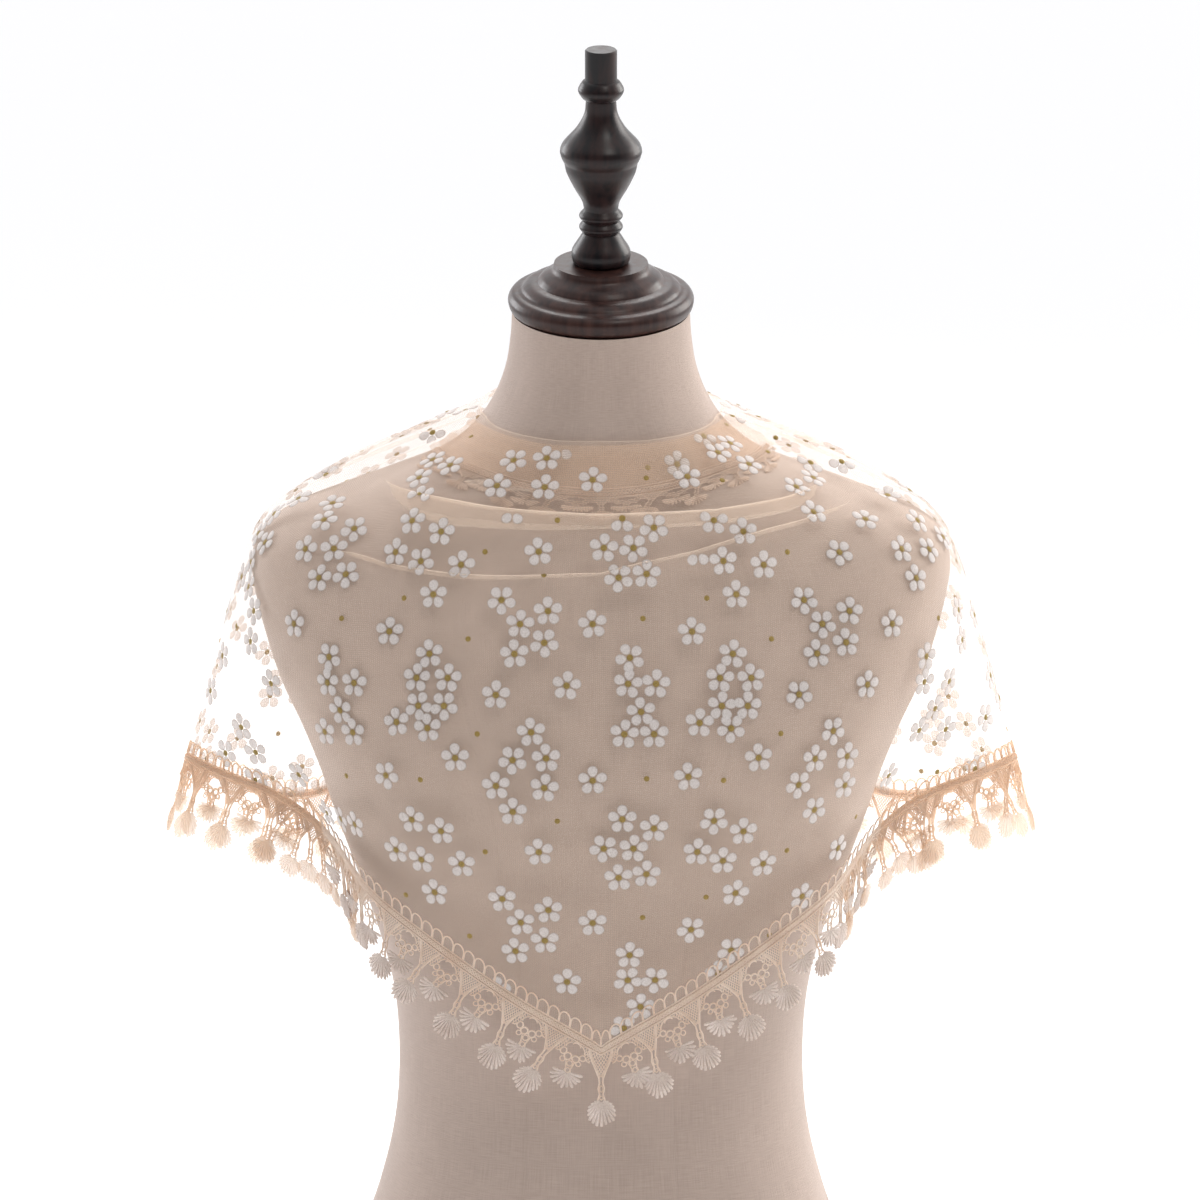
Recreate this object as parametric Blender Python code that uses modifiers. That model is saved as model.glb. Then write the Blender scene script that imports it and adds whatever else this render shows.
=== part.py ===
"""A sheer lace-trimmed triangle shawl, worn on a limbless dress form with a turned wooden neck cap.

Metres, +Z up. The form faces -Y, and the origin is under the middle of the form's flat base.
The shawl is one triangle of net. Its long edge lies round the neck, its right-angled point
hangs at the centre front, and its two ends cross behind the neck. One end is wound round the
front of the neck, under the net. Each stretch that shows is a wall of its own.
"""

import math

import bmesh
import bpy
import numpy as np
from mathutils import Vector
from mathutils.bvhtree import BVHTree

COLLECTION = "lace_shawl"

# Driving sizes.
CLOTH = 0.0010
LACE = 0.0010
SEAM = 0.0003
SEAM_AT_BEND = 0.0011
REST = 0.0011
LACE_LIFT = 0.0006
LACE_SEAM = 0.0008
WRAP_GAP = 0.0030
WRAP_FROM, WRAP_TO, WRAP_EASE = 0.0, 1.3, 0.3
CROSSING_LIFT = 0.0042
CROSSING_FROM, CROSSING_WHOLE = 8.6, 9.8

# The torso's level sections: height, half width, reach to the front and to the back, the
# middle's place from front to back, how square the outline is, and its forward lean in degrees.
# Columns: z, half_width, front, back, middle_y, square, lean.
TORSO = (
    (0.000, 0.1560, 0.098, 0.1200, 0.000, 2.20, 0),
    (0.040, 0.1590, 0.101, 0.1305, 0.000, 2.20, 0),
    (0.080, 0.1530, 0.101, 0.1250, 0.000, 2.20, 0),
    (0.120, 0.1420, 0.097, 0.1100, 0.000, 2.20, 0),
    (0.160, 0.1280, 0.091, 0.090, 0.000, 2.20, 0),
    (0.200, 0.1185, 0.085, 0.078, 0.000, 2.20, 0),
    (0.240, 0.1155, 0.083, 0.074, 0.000, 2.20, 0),
    (0.280, 0.1180, 0.087, 0.077, 0.000, 2.20, 0),
    (0.315, 0.1265, 0.095, 0.082, 0.000, 2.20, 0),
    (0.350, 0.1380, 0.106, 0.087, 0.000, 2.25, 0),
    (0.385, 0.1500, 0.119, 0.092, 0.000, 2.30, 0),
    (0.415, 0.1595, 0.126, 0.095, 0.000, 2.35, 0),
    (0.440, 0.1690, 0.127, 0.097, 0.000, 2.45, 0),
    (0.465, 0.1800, 0.123, 0.098, 0.000, 2.55, 0),
    (0.490, 0.1880, 0.115, 0.098, 0.001, 2.60, 0),
    (0.512, 0.1935, 0.106, 0.096, 0.002, 2.60, 0),
    (0.530, 0.1955, 0.097, 0.091, 0.003, 2.55, 0),
    (0.545, 0.1900, 0.089, 0.086, 0.004, 2.45, 0),
    (0.557, 0.1730, 0.083, 0.080, 0.005, 2.30, 0),
    (0.568, 0.1460, 0.076, 0.073, 0.005, 2.20, 0),
    (0.578, 0.1200, 0.070, 0.066, 0.004, 2.10, 0),
    (0.590, 0.0900, 0.064, 0.059, 0.002, 2.05, 1),
    (0.604, 0.0715, 0.060, 0.056, 0.000, 2.00, 3),
    (0.620, 0.0600, 0.056, 0.053, -0.003, 2.00, 6),
    (0.638, 0.0530, 0.052, 0.051, -0.007, 2.00, 9),
    (0.656, 0.0500, 0.050, 0.050, -0.011, 2.00, 11),
    (0.671, 0.0490, 0.0495, 0.0495, -0.014, 2.00, 11),
)
TORSO_SIDES = 32

# The turned wood: its lean, its foot on the neck, and each profile's distances from the axis
# and heights above the foot, from the top down.
NECK_LEAN = math.radians(11)
NECK_TOP = (0.0, -0.014, 0.671)
# Columns: radius, height.
CAP = (
    (0.0258, 0.0270),
    (0.0272, 0.0232),
    (0.0322, 0.0200),
    (0.0345, 0.0175),
    (0.0395, 0.0165),
    (0.0425, 0.0140),
    (0.0440, 0.0125),
    (0.0490, 0.0110),
    (0.0512, 0.0070),
    (0.0505, 0.0025),
    (0.0490, SEAM),
)
FINIAL = (
    (0.0087, 0.1480),
    (0.0087, 0.1310),
    (0.0105, 0.1295),
    (0.0125, 0.1255),
    (0.0105, 0.1215),
    (0.0082, 0.1200),
    (0.0092, 0.1120),
    (0.0135, 0.1040),
    (0.0205, 0.0960),
    (0.0224, 0.0915),
    (0.0215, 0.0875),
    (0.0200, 0.0845),
    (0.0188, 0.0790),
    (0.0150, 0.0710),
    (0.0105, 0.0630),
    (0.0093, 0.0585),
    (0.0120, 0.0545),
    (0.0100, 0.0515),
    (0.0120, 0.0480),
    (0.0100, 0.0445),
    (0.0125, 0.0405),
    (0.0160, 0.0345),
    (0.0158, 0.0290),
    (0.0140, 0.0270 + SEAM),
)
TURNING_STEPS = 24

# The net's lie over the right half of the form. Each row is a station, from the centre front
# round to the far side of the neck, and each column a point on the way down from neck to hem.
# Columns: neck, yoke, chest, fall, hem.
LIE = (
    ((0.000, -0.064, 0.606), (0.000, -0.090, 0.569), (0.000, -0.103, 0.541),
     (0.000, -0.131, 0.440), (0.000, -0.117, 0.275)),
    ((0.022, -0.062, 0.606), (0.045, -0.087, 0.569), (0.052, -0.101, 0.541),
     (0.052, -0.129, 0.440), (0.050, -0.115, 0.305)),
    ((0.040, -0.053, 0.607), (0.085, -0.076, 0.570), (0.098, -0.088, 0.542),
     (0.100, -0.117, 0.445), (0.096, -0.105, 0.336)),
    ((0.052, -0.041, 0.608), (0.115, -0.056, 0.571), (0.130, -0.068, 0.543),
     (0.137, -0.094, 0.455), (0.127, -0.085, 0.357)),
    ((0.059, -0.028, 0.609), (0.134, -0.034, 0.572), (0.154, -0.061, 0.546),
     (0.166, -0.070, 0.465), (0.152, -0.044, 0.379)),
    ((0.062, -0.017, 0.611), (0.142, -0.018, 0.573), (0.174, -0.039, 0.551),
     (0.191, -0.046, 0.480), (0.181, -0.031, 0.397)),
    ((0.065, -0.007, 0.612), (0.146, -0.003, 0.575), (0.182, -0.018, 0.554),
     (0.204, -0.022, 0.490), (0.211, -0.016, 0.405)),
    ((0.066, 0.003, 0.613), (0.146, 0.010, 0.577), (0.190, 0.004, 0.550),
     (0.212, 0.010, 0.490), (0.236, 0.014, 0.408)),
    ((0.062, 0.015, 0.616), (0.138, 0.026, 0.580), (0.180, 0.032, 0.552),
     (0.203, 0.048, 0.490), (0.223, 0.055, 0.389)),
    ((0.055, 0.029, 0.620), (0.114, 0.044, 0.585), (0.148, 0.057, 0.552),
     (0.165, 0.077, 0.485), (0.174, 0.086, 0.367)),
    ((0.038, 0.041, 0.625), (0.074, 0.061, 0.592), (0.092, 0.079, 0.556),
     (0.100, 0.094, 0.490), (0.102, 0.098, 0.393)),
    ((0.010, 0.050, 0.628), (0.018, 0.066, 0.596), (0.020, 0.083, 0.562),
     (0.020, 0.096, 0.510), (0.020, 0.097, 0.444)),
    ((-0.026, 0.046, 0.626), (-0.036, 0.058, 0.604), (-0.041, 0.069, 0.583),
     (-0.044, 0.079, 0.556), (-0.046, 0.087, 0.527)),
    ((-0.050, 0.030, 0.621), (-0.057, 0.037, 0.611), (-0.061, 0.042, 0.602),
     (-0.065, 0.046, 0.593), (-0.068, 0.050, 0.585)),
)
FRONT_END, SHOULDER_END, BACK_END = 4.0, 8.0, 13.0
HEM = 4.0
POINTED_FROM = 3.0

# The swag folds: the level where each rolls over, how far it stands out, and where it has faded.
# Columns: level, height, fade.
SWAGS = ((1.0, 0.0070, 0.95), (2.0, 0.0065, 0.7))
SWAG_REACH = 3.8

# The ridges over each shoulder: their middle station and reach, level and fade, height and pitch.
RIPPLE_MIDDLE, RIPPLE_REACH = 6.4, 2.9
RIPPLE_LEVEL, RIPPLE_FADE = 0.75, 0.85
RIPPLE_HEIGHT, RIPPLE_PITCH = 0.0050, 1.3

# The levels at which each wall has points. The last span is LACE_ROW wide, to carry the lace.
FRONT_LEVELS = (0.0, 0.35, 0.7, 0.985, 1.0, 1.35, 1.7, 1.985, 2.0, 2.35, 2.75, 3.25, 3.8)
SHOULDER_LEVELS = (0.0, 0.35, 0.7, 1.05, 1.4, 1.8, 2.2, 2.7, 3.25, 3.8)
BACK_LEVELS = (0.0, 0.55, 1.1, 1.65, 2.3, 3.1, 3.8)
LACE_ROW = 0.0140
KEPT_LEVEL, FREE_BELOW = 2.0, 2.6
HALVINGS = 30
FRONT_COLUMNS, SHOULDER_COLUMNS, BACK_COLUMNS = 28, 13, 22

# The wound end: a band round the front of the neck, as points at its upper and lower edge.
# Columns: upper, lower.
WRAP = (
    ((-0.070, 0.004, 0.606), (-0.096, 0.006, 0.590)),
    ((-0.066, -0.020, 0.603), (-0.084, -0.028, 0.584)),
    ((-0.052, -0.042, 0.600), (-0.060, -0.054, 0.582)),
    ((-0.030, -0.057, 0.598), (-0.035, -0.070, 0.579)),
    ((0.000, -0.062, 0.598), (0.000, -0.076, 0.577)),
    ((0.030, -0.057, 0.600), (0.035, -0.070, 0.580)),
    ((0.052, -0.042, 0.604), (0.061, -0.052, 0.585)),
    ((0.066, -0.020, 0.607), (0.085, -0.026, 0.588)),
    ((0.070, 0.004, 0.610), (0.097, 0.006, 0.592)),
)
WRAP_SPANS = 20
WRAP_SCALLOP = 0.0035

# The lace: one motif's half pitch, and its outlines as places along the hem and drops below it.
# Picot loops stand above the hem, on the net. Discs and fans hang by turns below the braid.
HALF_PITCH = 0.01375
PICOT_TOP, PICOT_VALLEY = -0.0120, -0.0086
PICOTS = (-0.006875, -0.0054, -0.0015, 0.0, 0.0015, 0.0054)
DISC = (
    (-0.006875, 0.0115),
    (-0.0013, 0.0155),
    (-0.0011, 0.0265),
    (-0.0055, 0.0285),
    (-0.0077, 0.0340),
    (-0.0050, 0.0400),
    (0.0, 0.0420),
)
FAN = (
    (-0.006875, 0.0115),
    (-0.0011, 0.0155),
    (-0.0060, 0.0190),
    (-0.0066, 0.0250),
    (-0.0026, 0.0298),
)
ARCH = ((-0.0056, 0.0008), (-0.0034, 0.0072), (0.0034, 0.0072), (0.0056, 0.0008))
HANG_CLEARANCE = 0.0012
MOST_SLANT = 0.75

# How faces are kept clear of what lies under them, at places spread over each face.
FACE_CLEARANCE = 0.0011
COVER_GAP = 0.0009
COVER_REACH = 0.0060
CLEARING_PASSES = 16
BESIDE = 0.8
FACE_SHARES = [
    (a / 5, b / 5, (5 - a - b) / 5)
    for a in range(6)
    for b in range(6 - a)
]


def finish(name, rgb, roughness):
    """A plain finish for one kind of piece."""
    made = bpy.data.materials.new(name)
    made.use_nodes = True
    shader = made.node_tree.nodes["Principled BSDF"]
    shader.inputs["Base Color"].default_value = (*rgb, 1.0)
    shader.inputs["Roughness"].default_value = roughness
    shader.inputs["Metallic"].default_value = 0.0
    return made


def clear_scene():
    for old in list(bpy.data.objects):
        bpy.data.objects.remove(old, do_unlink=True)


def new_object(name, mesh, material):
    """An object of this mesh, in the shawl's collection."""
    mesh.materials.clear()
    mesh.materials.append(material)
    obj = bpy.data.objects.new(name, mesh)
    bpy.data.collections[COLLECTION].objects.link(obj)
    return obj


def mesh_of(name, points, faces, smooth=True):
    mesh = bpy.data.meshes.new(name)
    mesh.from_pydata([tuple(p) for p in points], [], faces)
    if smooth:
        mesh.shade_smooth()
    return mesh


def unit(vector):
    return vector / np.linalg.norm(vector)


def share(value, none, whole):
    """How far value has come from none to whole, as 0 to 1."""
    return min(1.0, max(0.0, (value - none) / (whole - none)))


def level_section(row):
    """One closed outline of the torso, anticlockwise seen from above."""
    z, half_width, front, back, middle_y, square, lean = row
    outline = []
    for k in range(TORSO_SIDES):
        angle = 2 * math.pi * k / TORSO_SIDES
        c, s = math.cos(angle), math.sin(angle)
        x = half_width * math.copysign(abs(c) ** (2 / square), c)
        reach = back if s > 0 else front
        y = reach * math.copysign(abs(s) ** (2 / square), s)
        outline.append((x, middle_y + y, z + y * math.tan(math.radians(lean))))
    return outline


def make_torso(material):
    """The padded form, lofted through its level sections and closed flat at both ends."""
    rings = [level_section(row) for row in TORSO]
    n, top = TORSO_SIDES, (len(TORSO) - 1) * TORSO_SIDES
    faces = [
        (r * n + k, r * n + (k + 1) % n, (r + 1) * n + (k + 1) % n, (r + 1) * n + k)
        for r in range(len(rings) - 1)
        for k in range(n)
    ]
    faces.append(tuple(reversed(range(n))))
    faces.append(tuple(range(top, top + n)))
    mesh = mesh_of("form_torso", [p for ring in rings for p in ring], faces)
    mesh.set_sharp_from_angle(angle=math.radians(50))
    return new_object("form_torso", mesh, material)


def make_turned(name, profile, axis, material):
    """A turned piece: its profile runs down the outer side at +X, and a Screw turns it."""
    top, bottom = profile[0][1], profile[-1][1]
    line = [(0.0, 0.0, top), *[(r, 0.0, z) for r, z in profile], (0.0, 0.0, bottom)]
    mesh = bpy.data.meshes.new(name)
    mesh.from_pydata(line, [(k, k + 1) for k in range(len(line) - 1)], [])
    obj = new_object(name, mesh, material)
    screw = obj.modifiers.new("turning", "SCREW")
    screw.steps = screw.render_steps = TURNING_STEPS
    screw.use_merge_vertices = True
    screw.merge_threshold = 0.0001
    obj.parent = axis
    return obj


def smooth_through(rows, t):
    """A point of the smooth curve through rows, where t counts rows from the first."""
    last = len(rows) - 1
    i = min(int(max(t, 0)), last - 1)
    f = t - i
    here, after = rows[i], rows[i + 1]
    before = rows[i - 1] if i > 0 else 2 * here - after
    beyond = rows[i + 2] if i + 2 <= last else 2 * after - here
    slope_here, slope_after = (after - before) / 2, (beyond - here) / 2
    return (
        here * (1 + 2 * f) * (1 - f) ** 2
        + slope_here * f * (1 - f) ** 2
        + after * f**2 * (3 - 2 * f)
        + slope_after * f**2 * (f - 1)
    )


RIGHT_LIE = np.array(LIE)
WHOLE_LIE = np.concatenate([RIGHT_LIE[:0:-1] * (-1, 1, 1), RIGHT_LIE])


def on_net(u, v):
    """A point of the net's lie. u counts stations from the centre front, and v counts levels.

    The levels run smoothly across the centre front, and the hem comes to a point there.
    """
    middle = len(LIE) - 1
    smooth = smooth_through(smooth_through(WHOLE_LIE, u + middle), v)
    pointed = smooth_through(smooth_through(RIGHT_LIE, abs(u)), v) * (-1 if u < 0 else 1, 1, 1)
    sharp = share(v, POINTED_FROM, HEM)
    return smooth * (1 - sharp) + pointed * sharp


def tree_of(obj):
    """The faces of a solid in world space, for finding the nearest one."""
    mesh = obj.data
    return BVHTree.FromPolygons([v.co for v in mesh.vertices], [f.vertices for f in mesh.polygons])


def cover_of(points, faces, thickness):
    """An open sheet that other cloth lies on: its faces, and how far off its inner side to stay."""
    tree = BVHTree.FromPolygons([Vector(p) for p in points], faces)
    return tree, thickness + COVER_GAP, COVER_REACH


def moved_clear(point, tree, gap):
    """The point, moved out along the nearest face's normal where it is nearer than gap."""
    place, normal, _, _ = tree.find_nearest(Vector(point))
    if (Vector(point) - place).dot(normal) < gap:
        return np.array(place + normal * gap)
    return np.array(point)


def height_over(point, tree):
    """How far the point stands off the nearest face."""
    place, normal, _, _ = tree.find_nearest(Vector(point))
    return (Vector(point) - place).dot(normal)


def raised(point, tree, height):
    """The point, moved away from the nearest face by this much."""
    _, normal, _, _ = tree.find_nearest(Vector(point))
    return np.array(point) + np.array(normal) * height


def hold_clear(points, faces, covers):
    """Moves points out until every face is clear of every cover. Each pass tests all faces."""
    for _ in range(CLEARING_PASSES):
        moved = False
        for face in faces:
            corners = list(face)
            for shares in FACE_SHARES:
                inside = Vector(np.array(shares) @ points[corners])
                for tree, gap, reach in covers:
                    place, normal, _, distance = tree.find_nearest(inside, reach)
                    if place is None:
                        continue
                    height = (inside - place).dot(normal)
                    beside = distance > gap and abs(height) < BESIDE * distance
                    short = gap - height
                    if short > 0 and not beside:
                        points[corners] += np.outer(shares, normal) * short
                        moved = True
        if not moved:
            break
    return points


def swag(u, v):
    """How far the net stands out where the two swag folds roll over, fading below each."""
    out = 0.0
    for level, height, fade in SWAGS:
        if v >= level:
            across = max(0.0, 1 - (abs(u) / SWAG_REACH) ** 2)
            out += height * across * max(0.0, 1 - (v - level) / fade) ** 2
    return out


def ripple(u, v):
    """How far the soft ridges that run from the neck over each shoulder stand out."""
    across = max(0.0, 1 - ((abs(u) - RIPPLE_MIDDLE) / RIPPLE_REACH) ** 2)
    down = max(0.0, 1 - ((v - RIPPLE_LEVEL) / RIPPLE_FADE) ** 2)
    return RIPPLE_HEIGHT * across * down * (0.5 - 0.5 * math.cos(2 * math.pi * u / RIPPLE_PITCH))


def clearance(v):
    """The gap that the net keeps from the form, wider where the wound end lies under it."""
    over = share(v, WRAP_FROM, WRAP_FROM + WRAP_EASE) * share(-v, -WRAP_TO, WRAP_EASE - WRAP_TO)
    return REST + WRAP_GAP * over


def crossing_lift(u, v):
    """How far the outer back stretch stands off, where it passes over the inner one's lace."""
    return CROSSING_LIFT * share(-u, CROSSING_FROM, CROSSING_WHOLE)


def levels_at(u, levels):
    """The levels of one column, with the last span as wide as the lace needs."""
    hem = on_net(u, HEM)
    low, high = 0.0, HEM
    for _ in range(HALVINGS):
        middle = (low + high) / 2
        if np.linalg.norm(on_net(u, middle) - hem) > LACE_ROW:
            low = middle
        else:
            high = middle
    kept = KEPT_LEVEL * share(low, FREE_BELOW, FREE_BELOW + 1.0)
    change = (low - levels[-1]) / (levels[-1] - kept)
    return [v + max(0.0, v - kept) * change for v in levels] + [HEM]


def column_points(u, levels, tree, lift):
    """One column of the net, from its upper edge down to the hem."""
    column = []
    for v in levels_at(u, levels):
        clear = moved_clear(on_net(u, v), tree, clearance(v))
        column.append(raised(clear, tree, swag(u, v) + ripple(u, v) + lift(u, v)))
    return np.array(column)


def faces_of(columns, rows):
    """The faces of a grid whose columns run down, facing out where the columns go round to +X."""
    faces = []
    for a in range(columns - 1):
        for b in range(rows - 1):
            first, second = a * rows + b, (a + 1) * rows + b
            faces += [(first, first + 1, second + 1), (first, second + 1, second)]
    return faces


def panel_points(us, levels, covers, edges=(None, None), lift=lambda u, v: 0.0):
    """A panel's inner points, by column and level, clear of the covers.

    edges gives, for the first and the last column, the neighbour's column that it has to meet.
    """
    tree = covers[0][0]
    grid = np.array([column_points(u, levels, tree, lift) for u in us])
    met = {}
    for end, edge in zip((0, len(us) - 1), edges):
        if edge is not None:
            known, points = edge
            at = levels_at(us[end], levels)
            met[end] = np.array([np.interp(at, known, points[:, k]) for k in range(3)]).T
            grid[end] = met[end]
    rows = grid.shape[1]
    flat = grid.reshape(-1, 3)
    hold_clear(flat, faces_of(len(us), rows), covers)
    grid = flat.reshape(grid.shape)
    for end, column in met.items():
        grid[end] = column
    return grid


def inset(grid):
    """The panel with its first and last columns drawn in by half a seam."""
    drawn = grid.copy()
    for end, beside in ((0, 1), (-1, -2)):
        for row in range(grid.shape[1]):
            drawn[end, row] += unit(grid[beside, row] - grid[end, row]) * SEAM_AT_BEND / 2
    return drawn


def make_panel(name, grid, material):
    """A cloth wall: the open grid of points, thickened outwards."""
    faces = faces_of(*grid.shape[:2])
    obj = new_object(name, mesh_of(name, grid.reshape(-1, 3), faces), material)
    wall = obj.modifiers.new("cloth", "SOLIDIFY")
    wall.thickness = CLOTH
    wall.offset = 1.0
    wall.use_even_offset = True
    return obj


def hem_of(grid, tree):
    """The hem that carries lace, from a panel's points: places, directions, height and length."""
    hem, above = grid[:, -1], grid[:, -2]
    along = np.array([unit(a) for a in np.gradient(hem, axis=0)])
    rise = np.array([unit(u) for u in above - hem])
    out = np.array([unit(o) for o in np.cross(along, rise)])
    square = np.array([unit(s) for s in np.cross(out, along)])
    # The lace's upper edge follows the panel's columns, except where they run along the hem.
    upright = np.sum(rise * square, axis=1)[:, None]
    slanted = np.clip((upright - MOST_SLANT) / (1 - MOST_SLANT), 0, 1) ** 0.5
    rise = rise / upright * slanted + square * (1 - slanted)
    hang = np.array([unit(h) for h in -square + (0.0, 0.0, -1.0)])
    reach = np.concatenate([[0], np.cumsum(np.linalg.norm(np.diff(hem, axis=0), axis=1))])
    height = np.array([height_over(place, tree) for place in hem])[:, None]
    stand = np.minimum(CROSSING_LIFT, height - REST) * (1.0, 0.0, 0.0)
    return {
        "hem": hem + out * CLOTH,
        "rise": rise,
        "hang": hang,
        "out": out,
        "stand": stand,
        "reach": reach,
    }


def place_on_hem(edge, s, t, tree):
    """A point of the lace's inner face: s along the hem, and t below it."""
    hem, rise, hang, out, stand = (
        np.array([np.interp(s, edge["reach"], edge[name][:, k]) for k in range(3)])
        for name in ("hem", "rise", "hang", "out", "stand")
    )
    place = hem + (rise * -t if t < 0 else hang * t) + unit(out) * LACE_LIFT
    return moved_clear(place, tree, HANG_CLEARANCE + stand[0]) if t > 0 else place


def motif_outline(half):
    """One motif's outline, from its left half's lower points and the picots along its top."""
    mirrored = [(-s, t) for s, t in reversed(half) if s < 0]
    heights = (PICOT_VALLEY, PICOT_TOP, PICOT_TOP, PICOT_VALLEY, PICOT_TOP, PICOT_TOP)
    top = [*zip(PICOTS, heights), (HALF_PITCH / 2, PICOT_VALLEY)]
    return [*half, *mirrored, *reversed(top)]


def filled(outlines):
    """The flat faces that some outlines enclose, where an outline inside another is a hole."""
    flat = bpy.data.curves.new("motif", "CURVE")
    flat.dimensions = "2D"
    flat.fill_mode = "BOTH"
    for outline in outlines:
        spline = flat.splines.new("POLY")
        spline.points.add(len(outline) - 1)
        for point, (s, t) in zip(spline.points, outline):
            point.co = (s, t, 0.0, 1.0)
        spline.use_cyclic_u = True
    guide = bpy.data.objects.new("motif", flat)
    bpy.data.collections[COLLECTION].objects.link(guide)
    graph = bpy.context.evaluated_depsgraph_get()
    graph.update()
    mesh = bpy.data.meshes.new_from_object(guide.evaluated_get(graph))
    bpy.data.objects.remove(guide)
    return mesh


def make_lace(name, edge, count, covers, material):
    """A lace trim: discs and fans by turns, side by side along a hem, with their arches open.

    It starts and ends with a fan. The covers are what it lies on and hangs over.
    """
    motifs = (filled([motif_outline(FAN), ARCH]), filled([motif_outline(DISC)]))
    stretch = (edge["reach"][-1] - LACE_SEAM) / (count * HALF_PITCH)
    strip = bmesh.new()
    for k in range(count):
        known = len(strip.verts)
        strip.from_mesh(motifs[k % 2])
        strip.verts.ensure_lookup_table()
        for vert in strip.verts[known:]:
            vert.co.x += (k + 0.5) * HALF_PITCH
    for motif in motifs:
        bpy.data.meshes.remove(motif)
    bmesh.ops.remove_doubles(strip, verts=strip.verts, dist=0.00001)
    if strip.faces[:][0].normal.z > 0:
        bmesh.ops.reverse_faces(strip, faces=strip.faces)
    strip.verts.index_update()
    faces = [tuple(v.index for v in face.verts) for face in strip.faces]
    points = np.array([
        place_on_hem(edge, LACE_SEAM / 2 + vert.co.x * stretch, vert.co.y, covers[0][0])
        for vert in strip.verts
    ])
    strip.free()
    hold_clear(points, faces, covers)
    obj = new_object(name, mesh_of(name, points, faces, smooth=False), material)
    plate = obj.modifiers.new("plate", "SOLIDIFY")
    plate.thickness = LACE
    plate.offset = 1.0
    return cover_of(points, faces, LACE)


def make_wrap(form_cover, material):
    """The wound end of the shawl: a band that lies round the front of the neck."""
    rows = np.array(WRAP)
    points = []
    for a in range(WRAP_SPANS + 1):
        upper, lower = smooth_through(rows, a * (len(rows) - 1) / WRAP_SPANS)
        scallop = unit(lower - upper) * WRAP_SCALLOP * (a % 2)
        for place in (upper, upper + (lower - upper) * 0.5, lower + scallop):
            points.append(moved_clear(place, form_cover[0], REST))
    points = np.array(points)
    faces = faces_of(WRAP_SPANS + 1, 3)
    hold_clear(points, faces, [form_cover])
    make_panel("wound_end", points.reshape(WRAP_SPANS + 1, 3, 3), material)
    return cover_of(points, faces, CLOTH)


def no_lift(u, v):
    return 0.0


def stations(sign, near, far, columns):
    """The stations of one side's columns, in the order that runs round to +X at the front."""
    return np.sort(sign * np.linspace(near, far, columns + 1))


def dress(place, grid, covers, net, thread, pointed=False):
    """One stretch of the net and its lace trim. Returns both as covers for what lies on them."""
    drawn = inset(grid)
    make_panel("net_" + place, drawn, net)
    cover = cover_of(grid.reshape(-1, 3), faces_of(*grid.shape[:2]), CLOTH)
    edge = hem_of(drawn, covers[0][0])
    count = motif_count(edge, pointed)
    return [cover, make_lace("trim_" + place, edge, count, [*covers, cover], thread)]


def motif_count(edge, pointed=False):
    """How many motifs fit this hem best, with a fan at both ends and a disc at any point."""
    fit = edge["reach"][-1] / HALF_PITCH
    return 4 * round((fit - 3) / 4) + 3 if pointed else 2 * round((fit - 1) / 2) + 1


def main():
    clear_scene()
    collection = bpy.data.collections.new(COLLECTION)
    bpy.context.scene.collection.children.link(collection)
    linen = finish("linen_cover", (0.62, 0.53, 0.46), 0.85)
    wood = finish("dark_wood", (0.06, 0.035, 0.025), 0.35)
    net = finish("white_net", (0.90, 0.86, 0.82), 0.80)
    thread = finish("peach_lace", (0.90, 0.66, 0.52), 0.75)

    axis = bpy.data.objects.new("neck_axis", None)
    collection.objects.link(axis)
    axis.location = NECK_TOP
    axis.rotation_euler = (NECK_LEAN, 0.0, 0.0)
    form = make_torso(linen)
    make_turned("neck_cap", CAP, axis, wood)
    make_turned("finial", FINIAL, axis, wood)
    form_cover = (tree_of(form), FACE_CLEARANCE, 1.0)
    under = [form_cover, make_wrap(form_cover, net)]

    # The back stretches come first, the right one before the left, which passes over it.
    grids = {}
    crossed = list(under)
    for side, sign, lift in (("right", 1, no_lift), ("left", -1, crossing_lift)):
        us = stations(sign, SHOULDER_END, BACK_END, BACK_COLUMNS)
        grid = panel_points(us, BACK_LEVELS, crossed, lift=lift)
        crossed += dress("back_" + side, grid, crossed, net, thread)
        shared = (levels_at(sign * SHOULDER_END, BACK_LEVELS), grid[0 if sign > 0 else -1])
        us = stations(sign, FRONT_END, SHOULDER_END, SHOULDER_COLUMNS)
        edges = (None, shared) if sign > 0 else (shared, None)
        grid = panel_points(us, SHOULDER_LEVELS, under, edges)
        dress("shoulder_" + side, grid, under, net, thread)
        grids[side] = (levels_at(sign * FRONT_END, SHOULDER_LEVELS), grid[0 if sign > 0 else -1])

    us = np.linspace(-FRONT_END, FRONT_END, FRONT_COLUMNS + 1)
    grid = panel_points(us, FRONT_LEVELS, under, (grids["left"], grids["right"]))
    dress("front", grid, under, net, thread, pointed=True)


main()
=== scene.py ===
# %% [markdown]
# # A lace shawl on a dress form
#
# A wide triangle of sheer net, with small flocked daisies and a pendant lace trim, lies round the
# shoulders of a padded dress form. Cloth like this could be draped in a simulation. Here each
# piece is worked out from the places where the photograph shows it to lie, because the solids
# are made from the same sizes, and because every run then gives the same folds.
#
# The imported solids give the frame. Each piece below is finer and thinner than its solid, and
# stands for it.

import itertools
import math

import bpy
import numpy as np
from mathutils import Matrix, Vector
from mathutils.bvhtree import BVHTree


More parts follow.
